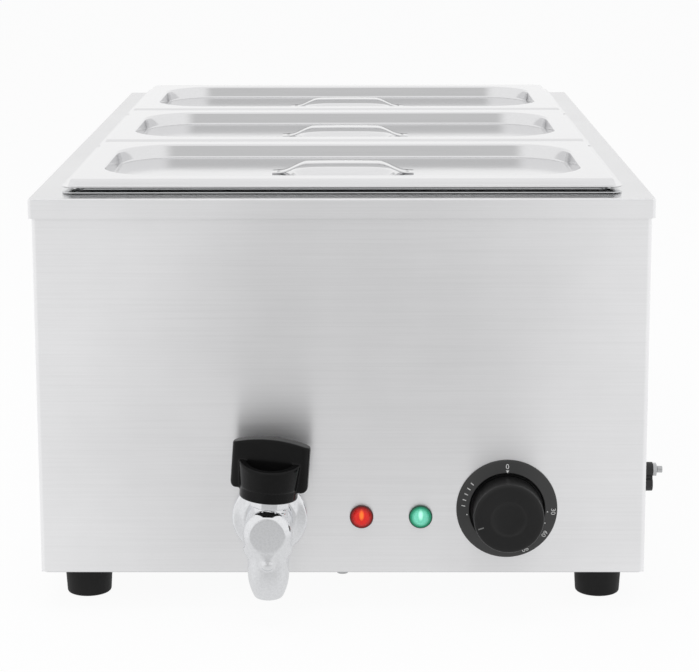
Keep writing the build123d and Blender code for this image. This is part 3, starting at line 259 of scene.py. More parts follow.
# %% Brushed and rolled steel
def steel(name, base, roughness, anisotropy, grain_mm, streak_mm, flat_gloss=1.0, level_painted_shade=1.0):
    """Stainless steel with scratches from left to right and faint cloudy patches, and a painted shade on its
    level faces if asked for.
    """
    made, tree, place = begin(name)
    across = (per_metre(streak_mm), per_metre(grain_mm), per_metre(grain_mm))
    stretched = add(tree, "Mapping", {"Vector": place, "Scale": across})
    lines = add(tree, "TexNoise", {"Vector": stretched, "Scale": 1.0, "Detail": 3.0, "Roughness": 0.6})
    cloud = add(tree, "TexNoise", {"Vector": place, "Scale": per_metre(70), "Detail": 3.0, "Roughness": 0.5})
    darker, lighter = around(base, 0.97, 1.03)
    cloudy = add(tree, "ValToRGB", {"Fac": cloud}, stops=[(0.3, darker), (0.7, lighter)])
    worn, plain = (0.955, 0.955, 0.955, 1), (1, 1, 1, 1)
    scratched = add(tree, "ValToRGB", {"Fac": lines}, stops=[(0.25, worn), (0.6, plain)])
    colour = add(tree, "Mix", {
        "Factor": 1.0, 6: cloudy, 7: scratched,
    }, data_type="RGBA", blend_type="MULTIPLY").outputs[2]
    rough = add(tree, "MapRange", {"Value": lines, "To Min": roughness * 0.85, "To Max": roughness * 1.15})
    normal = add(tree, "NewGeometry").outputs["True Normal"]
    facing = add(tree, "SeparateXYZ", {0: normal}).outputs["Z"]
    facing = add(tree, "Math", {0: facing}, operation="ABSOLUTE")
    flat = add(tree, "Math", {0: facing, 1: 0.7}, operation="GREATER_THAN")
    upright = add(tree, "Math", {0: 1.0, 1: flat}, operation="SUBTRACT")
    spread = add(tree, "CombineXYZ", {"X": 0.0, "Y": flat, "Z": upright})
    gloss = add(tree, "MapRange", {"Value": flat, "To Min": 1.0, "To Max": flat_gloss})
    rough = add(tree, "Math", {0: rough, 1: gloss}, operation="MULTIPLY")
    # Level faces, facing up or down, have their colour scaled down here: a painted shade that makes them
    # render darker than upright ones.
    shade = add(tree, "MapRange", {"Value": flat, "To Min": 1.0, "To Max": level_painted_shade})
    colour = add(tree, "VectorMath", {0: colour, "Scale": shade}, operation="SCALE")
    shaded(tree, colour, rough, lines, 0.02, 0.0002,
           Metallic=1.0, Anisotropic=anisotropy, Tangent=spread)
    return made


cabinet_steel = steel("brushed_stainless_sheet", tone("#F6F6F7"), 0.34, 0.9, 0.9, 90.0)
# The rim's level faces are drawn at 0.86 of its colour: a painted shade.
frame_steel = steel("brushed_stainless_rim", tone("#F6F6F7"), 0.34, 0.9, 0.9, 90.0, 0.55, 0.86)
base_steel = steel("rolled_stainless_sheet", tone("#C9CACC"), 0.38, 0.3, 1.5, 60.0)
tank_steel = steel("deep_drawn_stainless", tone("#CDCED0"), 0.33, 0.2, 2.0, 25.0)
print("made", len(bpy.data.materials), "materials so far")

# %% [markdown]
# The lids and pans are pressed from bright rolled sheet and then lightly polished. They mirror the
# room in soft bands, with only a hint of grain and a little unevenness where the metal was drawn.

# %% Pressed bright steel
def bright_steel(name, base, roughness):
    """Polished pressed sheet: faint waves of the pressing and a fine haze."""
    made, tree, place = begin(name)
    waves = add(tree, "TexNoise", {"Vector": place, "Scale": per_metre(45), "Detail": 2.0})
    rolled = (per_metre(60), per_metre(1.2), per_metre(1.2))
    stretched = add(tree, "Mapping", {"Vector": place, "Scale": rolled})
    haze = add(tree, "TexNoise", {"Vector": stretched, "Scale": 1.0, "Detail": 2.0})
    dull, _ = around(base, 0.97, 1.0)
    colour = add(tree, "ValToRGB", {"Fac": haze}, stops=[(0.3, dull), (0.6, base)])
    rough = add(tree, "MapRange", {"Value": haze, "To Min": roughness * 0.8, "To Max": roughness * 1.2})
    shaded(tree, colour, rough, waves, 0.12, 0.0008, Metallic=1.0)
    return made


lid_steel = bright_steel("polished_pressed_stainless", tone("#E3E3E4"), 0.12)
pan_steel = bright_steel("satin_drawn_stainless", tone("#DADBDC"), 0.24)

# %% [markdown]
# A pressed lid is one sheet whose height changes only with the distance from its edge: flange,
# step, flat border, dish wall, dish floor and the finger hollow. So it is lofted from rings, each a
# rounded rectangle given in millimetres: half its length, half its width, its corner radius and its
# height.
# Corners of that path are softened before the rings are drawn, as the press tool's edges are.

# %% Ring lofts
CORNER_STEPS = 14
SIDE_STEPS = 10


def ring(centre, half_x, half_y, corner, height):
    """Points of a rounded rectangle, anticlockwise from above. Sizes are in millimetres."""
    points = []
    for quarter, (sx, sy) in enumerate(((1, 1), (-1, 1), (-1, -1), (1, -1))):
        middle_x = sx * (half_x - corner)
        middle_y = sy * (half_y - corner)
        for step in range(CORNER_STEPS + 1):
            angle = math.radians(90 * quarter + 90 * step / CORNER_STEPS)
            points.append((middle_x + corner * math.cos(angle), middle_y + corner * math.sin(angle)))
        end_x, end_y = points[-1]
        ends = (points[-1], (-end_x, end_y) if quarter % 2 == 0 else (end_x, -end_y))
        for step in range(1, SIDE_STEPS):
            part = step / SIDE_STEPS
            points.append(tuple(a + (b - a) * part for a, b in zip(*ends)))
    return [(centre.x + x * MM, centre.y + y * MM, height * MM) for x, y in points]


def softened(path, steps=5):
    """The path's stations with each inner corner rounded by its own radius."""
    made = [np.array(path[0][0])]
    for (before, _), (here, radius), (after, _) in zip(path, path[1:], path[2:]):
        before, here, after = (np.array(p, float) for p in (before, here, after))
        if radius == 0:
            made.append(here)
            continue
        back, ahead = before - here, after - here
        start = here + back * min(radius / np.linalg.norm(back[[0, 3]]), 0.48)
        end = here + ahead * min(radius / np.linalg.norm(ahead[[0, 3]]), 0.48)
        for step in range(steps + 1):
            t = step / steps
            made.append((1 - t) ** 2 * start + 2 * t * (1 - t) * here + t * t * end)
    made.append(np.array(path[-1][0]))
    return made


def smooth(name, shape, material):
    """A smooth object with one material from a shape in the making."""
    mesh = bpy.data.meshes.new(name)
    shape.to_mesh(mesh)
    shape.free()
    mesh.shade_smooth()
    mesh.materials.append(material)
    return put(name, mesh)


def lofted(name, centre, path, material, wall=0.0):
    """A skin through rings along a path from the outside in, closed at its middle."""
    shape = bmesh.new()
    rows = []
    for half_x, half_y, corner, height in softened(path):
        rows.append([shape.verts.new(p) for p in ring(centre, half_x, half_y, corner, height)])
    count = len(rows[0])
    for outer, inner in zip(rows, rows[1:]):
        for i in range(count):
            j = (i + 1) % count
            shape.faces.new((outer[i], outer[j], inner[j], inner[i]))
    hub = shape.verts.new((centre.x, centre.y, rows[-1][0].co.z))
    for i in range(count):
        shape.faces.new((rows[-1][i], rows[-1][(i + 1) % count], hub))
    bmesh.ops.remove_doubles(shape, verts=shape.verts, dist=1e-6)
    made = smooth(name, shape, material)
    if wall:
        thickness = made.modifiers.new("wall", "SOLIDIFY")
        thickness.thickness = wall * MM
        thickness.offset = -1
    return made


def plan_of(node):
    """A node's centre, and in millimetres half its length, half its width, its foot and its top."""
    low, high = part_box(node)
    return (low + high) / 2, (high.x - low.x) / 2 / MM, (high.y - low.y) / 2 / MM, low.z / MM, high.z / MM


# %% Lids
row_names = ("front", "middle", "rear")
lid_sheet = 0.8
plateau_inset = 4.0
border = 15.5
dish_corner = 38.0
dish_slope = 1.0
dish_depth = 8.5
hollow_x, hollow_y = 31.0, 22.0
hollow_depth = 7.2
edge_corner = 7.0
lip = 0.25

for name in row_names:
    centre, length, width, _, top = plan_of("lid_" + name)
    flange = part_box("pan_" + name)[1].z / MM + lid_sheet
    floor_z = top - dish_depth
    dish_x, dish_y = length - plateau_inset - border, width - plateau_inset - border
    path = [
        ((length, width, edge_corner, flange - 0.3), 0),
        ((length - 0.15, width - 0.15, edge_corner, flange + lip), 0.3),
        ((length - 2.6, width - 2.6, edge_corner - 2.4, flange), 1.0),
        ((length - 3.4, width - 3.4, edge_corner - 3.0, flange), 0.9),
        ((length - 5.0, width - 5.0, edge_corner - 3.6, top), 1.1),
        ((length - 8.0, width - 8.0, edge_corner, top), 0),
        ((dish_x + 3, dish_y + 3, dish_corner + 3, top), 0),
        ((dish_x, dish_y, dish_corner, top), 1.5),
        ((dish_x - dish_slope, dish_y - dish_slope, dish_corner - dish_slope, floor_z), 1.3),
        ((dish_x - 12, dish_y - 12, dish_corner - 12, floor_z), 0),
        ((hollow_x + 4, hollow_y + 4, 21.9, floor_z), 0),
        ((hollow_x, hollow_y, 20.0, floor_z), 2.0),
        ((hollow_x - 6, hollow_y - 6, 14.0, floor_z - hollow_depth), 5.0),
        ((4, 1, 0.9, floor_z - hollow_depth), 0),
    ]
    lid = lofted("lid_pressing_" + name, centre, path, lid_steel, wall=lid_sheet)
    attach(lid, "lid_" + name)
    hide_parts("lid_" + name)
print("each lid has", len(lid.data.polygons), "faces before its wall")

# %% [markdown]
# Under each lid's strap the dish is pressed down once more, so that fingers fit. The strap is a flat
# strip, arched over that hollow, with its two ends spot-welded to the dish. Geometry Nodes bend a
# line into the arch and sweep a rounded bar section along it, and set a low ring of melted metal on
# every weld. Both become plain meshes before they ride on their lid.

# %% Geometry Nodes helpers
def new_tree(name, inputs):
    """A geometry tree with named number inputs, and what its group input gives."""
    tree = bpy.data.node_groups.new(name, "GeometryNodeTree")
    tree.interface.new_socket("Geometry", in_out="INPUT", socket_type="NodeSocketGeometry")
    for label in inputs:
        tree.interface.new_socket(label, in_out="INPUT", socket_type="NodeSocketFloat")
    tree.interface.new_socket("Geometry", in_out="OUTPUT", socket_type="NodeSocketGeometry")
    return tree, tree.nodes.new("NodeGroupInput").outputs


def finish_tree(tree, geometry, material):
    """Ends a tree in real geometry with its material."""
    real = add(tree, "GeometryNodeRealizeInstances", {"Geometry": geometry})
    dressed = add(tree, "GeometryNodeSetMaterial", {"Geometry": real, "Material": material})
    add(tree, "NodeGroupOutput", {"Geometry": dressed})
    return tree


def grown(name, tree, inputs, points=()):
    """Runs a tree on a set of points and returns the result as a plain mesh object."""
    seeds = bpy.data.meshes.new(name + "_points")
    seeds.from_pydata([tuple(p) for p in points], [], [])
    carrier = put(name + "_carrier", seeds)
    modifier = carrier.modifiers.new("nodes", "NODES")
    modifier.node_group = tree
    for item in tree.interface.items_tree:
        if item.in_out == "INPUT" and item.name in inputs:
            modifier[item.identifier] = inputs[item.name]
    bpy.context.view_layer.update()
    result = carrier.evaluated_get(bpy.context.evaluated_depsgraph_get())
    plain = bpy.data.meshes.new_from_object(result)
    plain.name = name
    carrier.modifiers.clear()
    bpy.data.objects.remove(carrier)
    return put(name, plain)


def fitted(made, body, slot, *replaced):
    """Gives a piece its body and hides the CAD nodes that it stands in for. The slot is not used."""
    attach(made, body)
    if replaced:
        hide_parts(*replaced)


# %% Strap handles
strap_end = 43.5 * MM
strap_rise = 6.0 * MM
strap_width = 13.0 * MM
strap_sheet = 1.0 * MM
arch_part = 0.86
weld_steel = bright_steel("spot_welded_stainless", tone("#7E7E80"), 0.34)

tree, given = new_tree("strap", ["End", "Foot", "Shoulder", "Rise", "Width", "Thickness", "Edge"])
line = add(tree, "GeometryNodeCurvePrimitiveLine")
fine = add(tree, "GeometryNodeResampleCurve", {"Curve": line, "Count": 73})
along = add(tree, "GeometryNodeSplineParameter")
side = add(tree, "MapRange", {"Value": along, "To Min": -1.0, "To Max": 1.0})
share = add(tree, "Math", {0: side}, operation="ABSOLUTE")
side = add(tree, "Math", {0: side, 1: given["End"]}, operation="MULTIPLY")
arch = add(tree, "MapRange", {
    "Value": share, "From Min": given["Foot"], "From Max": given["Shoulder"], "To Max": arch_part,
}, interpolation_type="SMOOTHSTEP")
square = add(tree, "Math", {0: share, 1: share}, operation="MULTIPLY")
crown = add(tree, "MapRange", {"Value": square, "To Min": 1 - arch_part, "To Max": 0.0})
lift = add(tree, "Math", {0: arch, 1: crown}, operation="ADD")
lift = add(tree, "Math", {0: lift, 1: given["Rise"]}, operation="MULTIPLY")
spot = add(tree, "CombineXYZ", {"X": side, "Z": lift})
bent = add(tree, "GeometryNodeSetPosition", {"Geometry": fine, "Position": spot})
section = add(tree, "GeometryNodeCurvePrimitiveQuadrilateral", {
    "Width": given["Width"], "Height": given["Thickness"],
})
soft = add(tree, "GeometryNodeFilletCurve", {
    "Curve": section, "Count": 4, "Radius": given["Edge"],
}, mode="POLY")
swept = add(tree, "GeometryNodeCurveToMesh", {"Curve": bent, "Profile Curve": soft, "Fill Caps": True})
strap_tree = finish_tree(tree, swept, lid_steel)

tree, given = new_tree("weld marks", ["Radius", "Height"])
circle = add(tree, "GeometryNodeCurvePrimitiveCircle", {"Resolution": 24, "Radius": given["Radius"]})
bead = add(tree, "GeometryNodeCurvePrimitiveCircle", {"Resolution": 8, "Radius": given["Height"]})
weld = add(tree, "GeometryNodeCurveToMesh", {"Curve": circle, "Profile Curve": bead})
placed = add(tree, "GeometryNodeInstanceOnPoints", {"Points": given["Geometry"], "Instance": weld})
weld_tree = finish_tree(tree, placed, weld_steel)

for name in row_names:
    low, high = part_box("lid_handle_" + name)
    centre = Vector(((low.x + high.x) / 2, (low.y + high.y) / 2, low.z))
    strap = grown("strap_" + name, strap_tree, {
        "End": strap_end, "Foot": 0.9, "Shoulder": 0.5, "Rise": strap_rise,
        "Width": strap_width, "Thickness": strap_sheet, "Edge": 0.45 * strap_sheet,
    })
    strap.data.transform(Matrix.Translation(centre + Vector((0, 0, strap_sheet / 2))))
    strap.data.shade_smooth()
    spots = [
        centre + Vector((end * (strap_end - 4.5 * MM), row * 3.4 * MM, strap_sheet))
        for end in (-1, 1) for row in (-1, 1)
    ]
    welds = grown("welds_" + name, weld_tree, {"Radius": 1.4 * MM, "Height": 0.24 * MM}, spots)
    welds.data.shade_smooth()
    fitted(strap, "lid_" + name, "lid_steel", "lid_handle_" + name)
    fitted(welds, "lid_" + name, "lid_steel")
print("each strap has", len(strap.data.polygons), "faces")

# %% [markdown]
# A gastronorm pan is drawn from one sheet too: a rim with a rolled edge that rests on the frame, a
# short straight collar, a small shoulder for stacking, and walls that narrow to a rounded floor.
# The rolled edge is what shows under the front lid as a thin bright line.

# %% Pans
pan_wall = 0.8
collar_inset = 10.0
collar_depth = 25.0
shoulder_step = 2.5
pan_draft = 5.0
rest = frame_high.z / MM
for name in row_names:
    centre, length, width, foot, top = plan_of("pan_" + name)
    neck_x, neck_y = length - collar_inset, width - collar_inset
    wall_x, wall_y = neck_x - shoulder_step, neck_y - shoulder_step
    path = [
        ((length, width, edge_corner, rest + 0.7), 0),
        ((length - 0.1, width - 0.1, edge_corner, rest + 1.3), 0.3),
        ((length - 6.0, width - 6.0, edge_corner, rest + 1.6), 0.5),
        ((length - 6.4, width - 6.4, edge_corner, top), 0.6),
        ((neck_x, neck_y, 26.5, top), 1.8),
        ((neck_x, neck_y, 26.5, top - collar_depth), 1.5),
        ((wall_x, wall_y, 24.0, top - collar_depth - 1.0), 1.5),
        ((wall_x - pan_draft, wall_y - pan_draft, 19.0, foot + pan_wall), 13.0),
        ((20.0, 6.0, 5.0, foot + pan_wall), 0),
    ]
    pan = lofted("pan_pressing_" + name, centre, path, pan_steel, wall=pan_wall)
    fitted(pan, "pan_" + name, "pan_steel", "pan_" + name)
print("each pan has", len(pan.data.polygons), "faces before its wall")

# %% [markdown]
# The tap is a brass casting, ground and chrome plated, so its forms melt into each other: barrel,
# drop-shaped front face, spout and shank. Such a shape is easiest to say as a formula for the
# distance to its surface. A soft minimum joins two forms with a fillet, and a soft maximum cuts one
# by another with a rounded edge. The skin is found cell by cell on a grid, and each point is then
# slid along the slope until it lies on the true surface.

# %% A skin for a distance formula
def joined(a, b, fillet):
    """The union of two forms with a fillet between them."""
    overlap = np.maximum(fillet - np.abs(a - b), 0) / fillet
    return np.minimum(a, b) - overlap * overlap * fillet / 4


def cut(a, b, edge):
    """What lies in both forms, with a rounded edge between them."""
    return -joined(-a, -b, edge)


def skin_of(name, distance, low, high, step, material, place):
    """A mesh of the surface where the distance is nought, in millimetres, then put in its place."""
    low, high = np.array(low, float), np.array(high, float)
    ticks = [np.arange(low[i], high[i] + step, step) for i in range(3)]
    inside = distance(*np.meshgrid(*ticks, indexing="ij")) < 0
    nx, ny, nz = (count - 1 for count in inside.shape)
    corners = sum(
        inside[i:i + nx, j:j + ny, k:k + nz].astype(int)
        for i in (0, 1) for j in (0, 1) for k in (0, 1)
    )
    crossed = (corners > 0) & (corners < 8)
    number = np.full(crossed.shape, -1)
    number[crossed] = np.arange(crossed.sum())
    start = low + (np.argwhere(crossed) + 0.5) * step
    points = start.copy()
    for _ in range(6):
        value = distance(*points.T)
        slope = np.stack([
            (distance(*(points + shift).T) - distance(*(points - shift).T)) / 0.1
            for shift in 0.05 * np.eye(3)
        ], axis=1)
        move = value[:, None] * slope / np.maximum((slope ** 2).sum(1), 0.2)[:, None]
        points = np.clip(points - 0.9 * move, start - 0.8 * step, start + 0.8 * step)
    faces = []
    for a in range(3):
        b, c = (a + 1) % 3, (a + 2) % 3
        count = inside.shape[a] - 1
        below = np.take(inside, range(count), axis=a)
        above = np.take(inside, range(1, count + 1), axis=a)
        edges = np.argwhere(below != above)
        quads = []
        for back_b, back_c in ((0, 0), (1, 0), (1, 1), (0, 1)):
            cell = edges.copy()
            cell[:, b] -= back_b
            cell[:, c] -= back_c
            quads.append(number[tuple(cell.T)])
        quads = np.stack(quads, axis=1)
        outward = below[tuple(edges.T)]
        faces.append(np.where(outward[:, None], quads, quads[:, ::-1]))
    mesh = bpy.data.meshes.new(name)
    mesh.from_pydata((points * MM).tolist(), [], np.concatenate(faces).tolist())
    mesh.transform(place)
    mesh.shade_smooth()
    mesh.materials.append(material)
    return put(name, mesh)


# %% Plated and turned metals
def plated(name, base, roughness, wave=0.04, speck=0.06):
    """A smooth metal over a ground or turned part, with faint waves and a trace of dust."""
    made, tree, place = begin(name)
    grind = add(tree, "TexNoise", {"Vector": place, "Scale": per_metre(9), "Detail": 2.0})
    dust = add(tree, "TexNoise", {"Vector": place, "Scale": per_metre(1.3), "Detail": 3.0})
    dull, _ = around(base, 1 - speck, 1.0)
    colour = add(tree, "ValToRGB", {"Fac": dust}, stops=[(0.35, dull), (0.6, base)])
    rough = add(tree, "MapRange", {"Value": dust, "To Min": roughness * 0.7, "To Max": roughness * 1.3})
    shaded(tree, colour, rough, grind, wave, 0.0004, Metallic=1.0)
    return made


chrome = plated("chrome_plated_brass", tone("#E6E7E9"), 0.07)
zinc = plated("bright_zinc_plated_steel", tone("#B9BABB"), 0.28, wave=0.1)
brass = plated("turned_brass", tone("#C7A25A"), 0.22)
copper = plated("drawn_copper_tube", tone("#B87358"), 0.25)
sheath = plated("annealed_steel_sheath", tone("#8C8780"), 0.34, wave=0.08, speck=0.15)
terminal_metal = plated("tinned_copper_screw", tone("#C9C3B6"), 0.3)


# %% Moulded plastics and rubber
def moulded(name, colour, roughness, grain_mm, depth, specular=0.5, mottle=0.12):
    """A moulded plastic or rubber: the mould's fine grain and a slightly uneven colour."""
    made, tree, place = begin(name)
    grain = add(tree, "TexNoise", {"Vector": place, "Scale": per_metre(grain_mm), "Detail": 3.0})
    cloud = add(tree, "TexNoise", {"Vector": place, "Scale": per_metre(14), "Detail": 2.0})
    darker, lighter = around(colour, 1 - mottle, 1 + mottle)
    shade = add(tree, "ValToRGB", {"Fac": cloud}, stops=[(0.35, darker), (0.65, lighter)])
    rough = add(tree, "MapRange", {"Value": grain, "To Min": roughness * 0.85, "To Max": roughness * 1.15})
    shaded(tree, shade, rough, grain, depth, 0.0001, Specular_IOR_Level=specular)
    return made


phenolic = moulded("glossy_black_phenolic", tone("#121212"), 0.2, 6.0, 0.05, specular=0.14)
knob_abs = moulded("fine_grained_black_abs", tone("#141414"), 0.36, 0.5, 0.25, specular=0.3)
ring_abs = moulded("satin_black_abs", tone("#181818"), 0.34, 0.5, 0.25, specular=0.68)
nylon = moulded("black_nylon", tone("#232324"), 0.5, 0.4, 0.2)
rubber = moulded("black_rubber", tone("#1A1A1A"), 0.62, 0.35, 0.4, specular=0.25)
silicone = moulded("red_brown_silicone", tone("#A4553F"), 0.5, 0.6, 0.2)
lamp_case = moulded("grey_polyamide", tone("#A9A9A4"), 0.45, 0.5, 0.2)
switch_case = moulded("brown_phenolic_switch_case", tone("#4A3B31"), 0.4, 0.6, 0.2)
terminal_case = moulded("white_ceramic_filled_nylon", tone("#D9D6CC"), 0.45, 0.5, 0.2)
wire_cover = moulded("glass_braid_sleeve", tone("#B9B3A4"), 0.7, 0.5, 0.8, mottle=0.2)
worn_print = moulded("worn_grey_print", tone("#7D7D7B"), 0.5, 0.6, 0.1)
print_white = moulded("white_pad_print", tone("#D6D6D4"), 0.5, 0.6, 0.1, mottle=0.05)
print("made", len(bpy.data.materials), "materials so far")

# %% Tap body
tap_joint = next(joint for joint in frame["joints"] if joint["name"] == "tap_turn")
stem_foot = Vector(tap_joint["pos_m"])
stem_axis = Vector(tap_joint["axis"]).normalized()
stem_lean = math.atan2(stem_axis.x, stem_axis.z)
tap_low, tap_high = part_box("tap_body")
spout_reach = (stem_foot.z - tap_low.z) / MM
tail_reach = (tap_high.y - stem_foot.y) / MM
face_reach = 14.0
barrel_radius = 13.7
drop_radius = 10.2
spout_radius = 12.0
collar_top = 14.2
bonnet_top = 19.1


def tap_distance(x, y, z):
    """The tap's casting, in millimetres from the foot of its stem. The front is towards -y."""
    out = np.hypot(x, z)
    barrel = cut(out - barrel_radius, (out - barrel_radius + 1.32 * (y - 9.9)) / 1.66, 1.4)
    barrel = cut(barrel, (out - 10.3 - 0.95 * (y + face_reach)) / 1.38, 1.6)
    barrel = cut(barrel, np.maximum(-face_reach - y, y - 13.0), 0.7)
    neck = cut(np.abs(x) - 1.3, np.maximum(z + 6.0, -17.0 - z), 0.5)
    drop = joined(out - drop_radius, neck, 8.5)
    face = cut(0.72 * (drop - 0.95 * (y + face_reach)), np.maximum(-face_reach - y, y + 6.0), 0.6)
    face = cut(face, joined(out - barrel_radius, np.maximum(np.hypot(x, y) - 15.5, z), 2.0), 0.6)
    shank = np.maximum(out - 10.4, np.maximum(y - 19.4, -y))
    tail = cut(out - 8.3, np.maximum(y - tail_reach, -y), 0.6)
    narrow = np.clip((-z - 25.5) / (spout_reach - 25.5), 0, 1)
    spout = cut(np.hypot(x, y) - (spout_radius - 4.1 * narrow * narrow), np.maximum(z, -spout_reach - z), 1.5)
    across = x * math.cos(stem_lean) - z * math.sin(stem_lean)
    height = x * math.sin(stem_lean) + z * math.cos(stem_lean)
    collar = cut(np.hypot(across, y) - 10.6, np.maximum(height - collar_top, -height), 0.4)
    pip = np.sqrt(x * x + (y + 10.3) ** 2 + (z + 17.6) ** 2) - 4.2
    shape = joined(barrel, shank, 3.0)
    shape = joined(shape, spout, 2.4)
    shape = joined(shape, face, 0.8)
    shape = joined(shape, pip, 0.8)
    shape = joined(shape, collar, 0.8)
    shape = np.minimum(shape, tail)
    bore = np.maximum(np.hypot(x, y) - 5.6, z + 9.0)
    shape = cut(shape, -bore, 0.6)
    chamber = np.maximum(np.hypot(across, y) - 7.2, -9.7 - height)
    return np.maximum(np.maximum(shape, -chamber), -np.maximum(out - 5.0, -y))


tap = skin_of("tap_casting", tap_distance, (-16.0, -face_reach - 1.2, -spout_reach - 1.2),
              (16.5, tail_reach + 1.2, 16.4), 0.55, chrome, Matrix.Translation(stem_foot))
fitted(tap, "cabinet", "tap_chrome", "tap_body")


def bonnet_distance(x, y, z):
    """The eight-sided nut on top of the casting, z along the stem."""
    sides = [
        np.abs(x * math.cos(math.radians(turn)) + y * math.sin(math.radians(turn))) - 10.9
        for turn in (0, 45, 90, 135)
    ]
    prism = cut(np.maximum.reduce(sides), np.maximum(collar_top - z, z - bonnet_top), 0.7)
    return np.maximum(prism, 4.6 - np.hypot(x, y))


upright = Matrix.Translation(stem_foot) @ Matrix.Rotation(stem_lean, 4, "Y")
bonnet = skin_of("bonnet_nut", bonnet_distance, (-12.4, -12.4, 13.2), (12.4, 12.4, 20.2), 0.4,
                 chrome, upright)
fitted(bonnet, "cabinet", "tap_chrome", "tap_bonnet")
print("the tap has", len(tap.data.polygons), "faces and its bonnet", len(bonnet.data.polygons))

# %% [markdown]
# The handle is one glossy black moulding: a hub that flares a little towards its open pocket, with a
# rim that dips to the front and back, and a thick grip bar with round ends and an arched top.

# %% Tap handle
handle_turn = math.radians(-6)
handle_lift = (bonnet_top + 0.3) * MM
handle_shift = 1.1
bar_end, bar_side = 18.2, 4.5


def handle_distance(u, v, w):
    """The handle in millimetres: u along its bar, v across it, w up the stem from its foot."""
    out = np.hypot(u, v)
    flare = 16.8 + 0.35 * np.clip((w - 6.4) / 0.4, 0, 1) + 1.25 * np.clip((w - 6.6) / 12.1, 0, 1)
    rim = 22.0 - 3.3 * np.clip((np.abs(v) - 4.5) / 13.3, 0, 1)
    hub = cut(out - flare, np.maximum(w - rim, -w), 1.0)
    hub = cut(hub, -cut(out - 14.4, 9.6 - w, 1.5), 0.8)
    plan = np.hypot(np.maximum(np.abs(u) - bar_end, 0), v) - bar_side
    crown = 34.6 - 3.3 * (u / 22.0) ** 2
    bar = cut(plan, w - crown, 1.0)
    corner = np.hypot(np.maximum(np.abs(u) - 19.2, 0), np.maximum(8.3 - w, 0)) - 3.5
    bar = cut(bar, corner, 1.0)
    shape = joined(hub, bar, 1.2)
    stem_bore = np.maximum(np.hypot(u - handle_shift, v) - 4.6, w - 7.8)
    screw_bore = np.maximum(np.hypot(u - handle_shift, w - 6.0) - 2.1, -v)
    return np.maximum(np.maximum(shape, -stem_bore), -screw_bore)


handle_place = upright @ Matrix.Translation(Vector((-handle_shift * MM, 0, handle_lift)))
handle_place = handle_place @ Matrix.Rotation(handle_turn, 4, "Z")
handle = skin_of("handle_moulding", handle_distance, (-24.2, -19.6, -1.2), (24.2, 19.6, 36.4), 0.55,
                 phenolic, handle_place)
fitted(handle, "tap_lever", "gloss_black_plastic", "tap_handle")
print("the handle has", len(handle.data.polygons), "faces")

# %% [markdown]
# Round parts are turned: a profile of radius and height goes round an axis. The rosette, the dial
# ring, the knob and the lamp lenses stand out of the front panel, and the feet stand on the table.
# Their soft edges come from the same rounding of a path that the lids use.

# %% Turned parts
def turned(name, places, profile, material, steps=96):
    """One turned part in each place. Stations are a radius, a height and how soft the corner is."""
    path = softened([((radius * MM, 0, 0, height * MM), soft * MM) for radius, height, soft in profile], 6)
    shape = bmesh.new()
    for place in places:
        rows = []
        for radius, _, _, height in path:
            turns = 1 if radius < 1e-6 else steps
            rows.append([
                shape.verts.new(place @ Vector((
                    radius * math.cos(math.tau * i / turns), radius * math.sin(math.tau * i / turns), height,
                )))
                for i in range(turns)
            ])
        for outer, inner in zip(rows, rows[1:]):
            for i in range(steps):
                j = (i + 1) % steps
                corners = [row[k % len(row)] for row, k in ((outer, i), (outer, j), (inner, j), (inner, i))]
                corners = list(dict.fromkeys(corners))
                if len(corners) > 2:
                    shape.faces.new(corners)
    bmesh.ops.remove_doubles(shape, verts=shape.verts, dist=1e-7)
    bmesh.ops.recalc_face_normals(shape, faces=shape.faces)
    return smooth(name, shape, material)


def on_panel(node):
    """A place at the back of a round node, with its height pointing out of the front panel."""
    low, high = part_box(node)
    spot = Vector(((low.x + high.x) / 2, high.y, (low.z + high.z) / 2))
    return Matrix.Translation(spot) @ Matrix.Rotation(math.radians(90), 4, "X")


rosette = turned("rosette_dish", [on_panel("tap_rosette")], [
    (8.4, 0, 0), (21.6, 0, 0.3), (22.2, 0.5, 0.5), (21.4, 1.6, 0.9), (17.0, 2.5, 3.0), (14.8, 3.4, 1.2),
    (8.4, 3.4, 0), (8.4, 0, 0),
], chrome)
fitted(rosette, "cabinet", "tap_chrome", "tap_rosette")

# %% Dial ring and knob
ring_place = on_panel("thermostat_bezel")
ring_inner, ring_outer = 22.2, 28.9
ring_peak, ring_rim = 3.3, 1.0
dial_ring = turned("dial_ring", [ring_place], [
    (19.0, 0, 0), (29.4, 0, 0.2), (29.7, 0.5, 0.3), (ring_outer, ring_rim, 0.7), (ring_inner, ring_peak, 0.6),
    (21.4, 2.0, 0.5), (19.0, 1.9, 0), (19.0, 0, 0),
], ring_abs)
fitted(dial_ring, "cabinet", "black_plastic", "thermostat_bezel")

knob_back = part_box("thermostat_knob")[1].y
knob_place = Matrix.Translation(Vector((0, knob_back - ring_place.translation.y, 0))) @ ring_place
knob_reach = 18.4
knob = turned("dial_knob_cap", [knob_place], [
    (0.0, 14.0, 0), (3.1, 14.0, 0), (3.1, 0.2, 0), (6.0, 0.2, 0.3), (6.0, 11.0, 0.5), (17.2, 11.0, 0.8),
    (17.6, 0.2, 0.4), (20.5, 0.0, 0.4), (20.4, knob_reach - 0.9, 1.6), (18.3, knob_reach, 1.6),
    (10.6, knob_reach - 0.1, 0.7), (8.8, knob_reach - 1.5, 2.4), (0.0, knob_reach - 2.1, 0),
], knob_abs)
fitted(knob, "dial_knob", "black_plastic", "thermostat_knob")

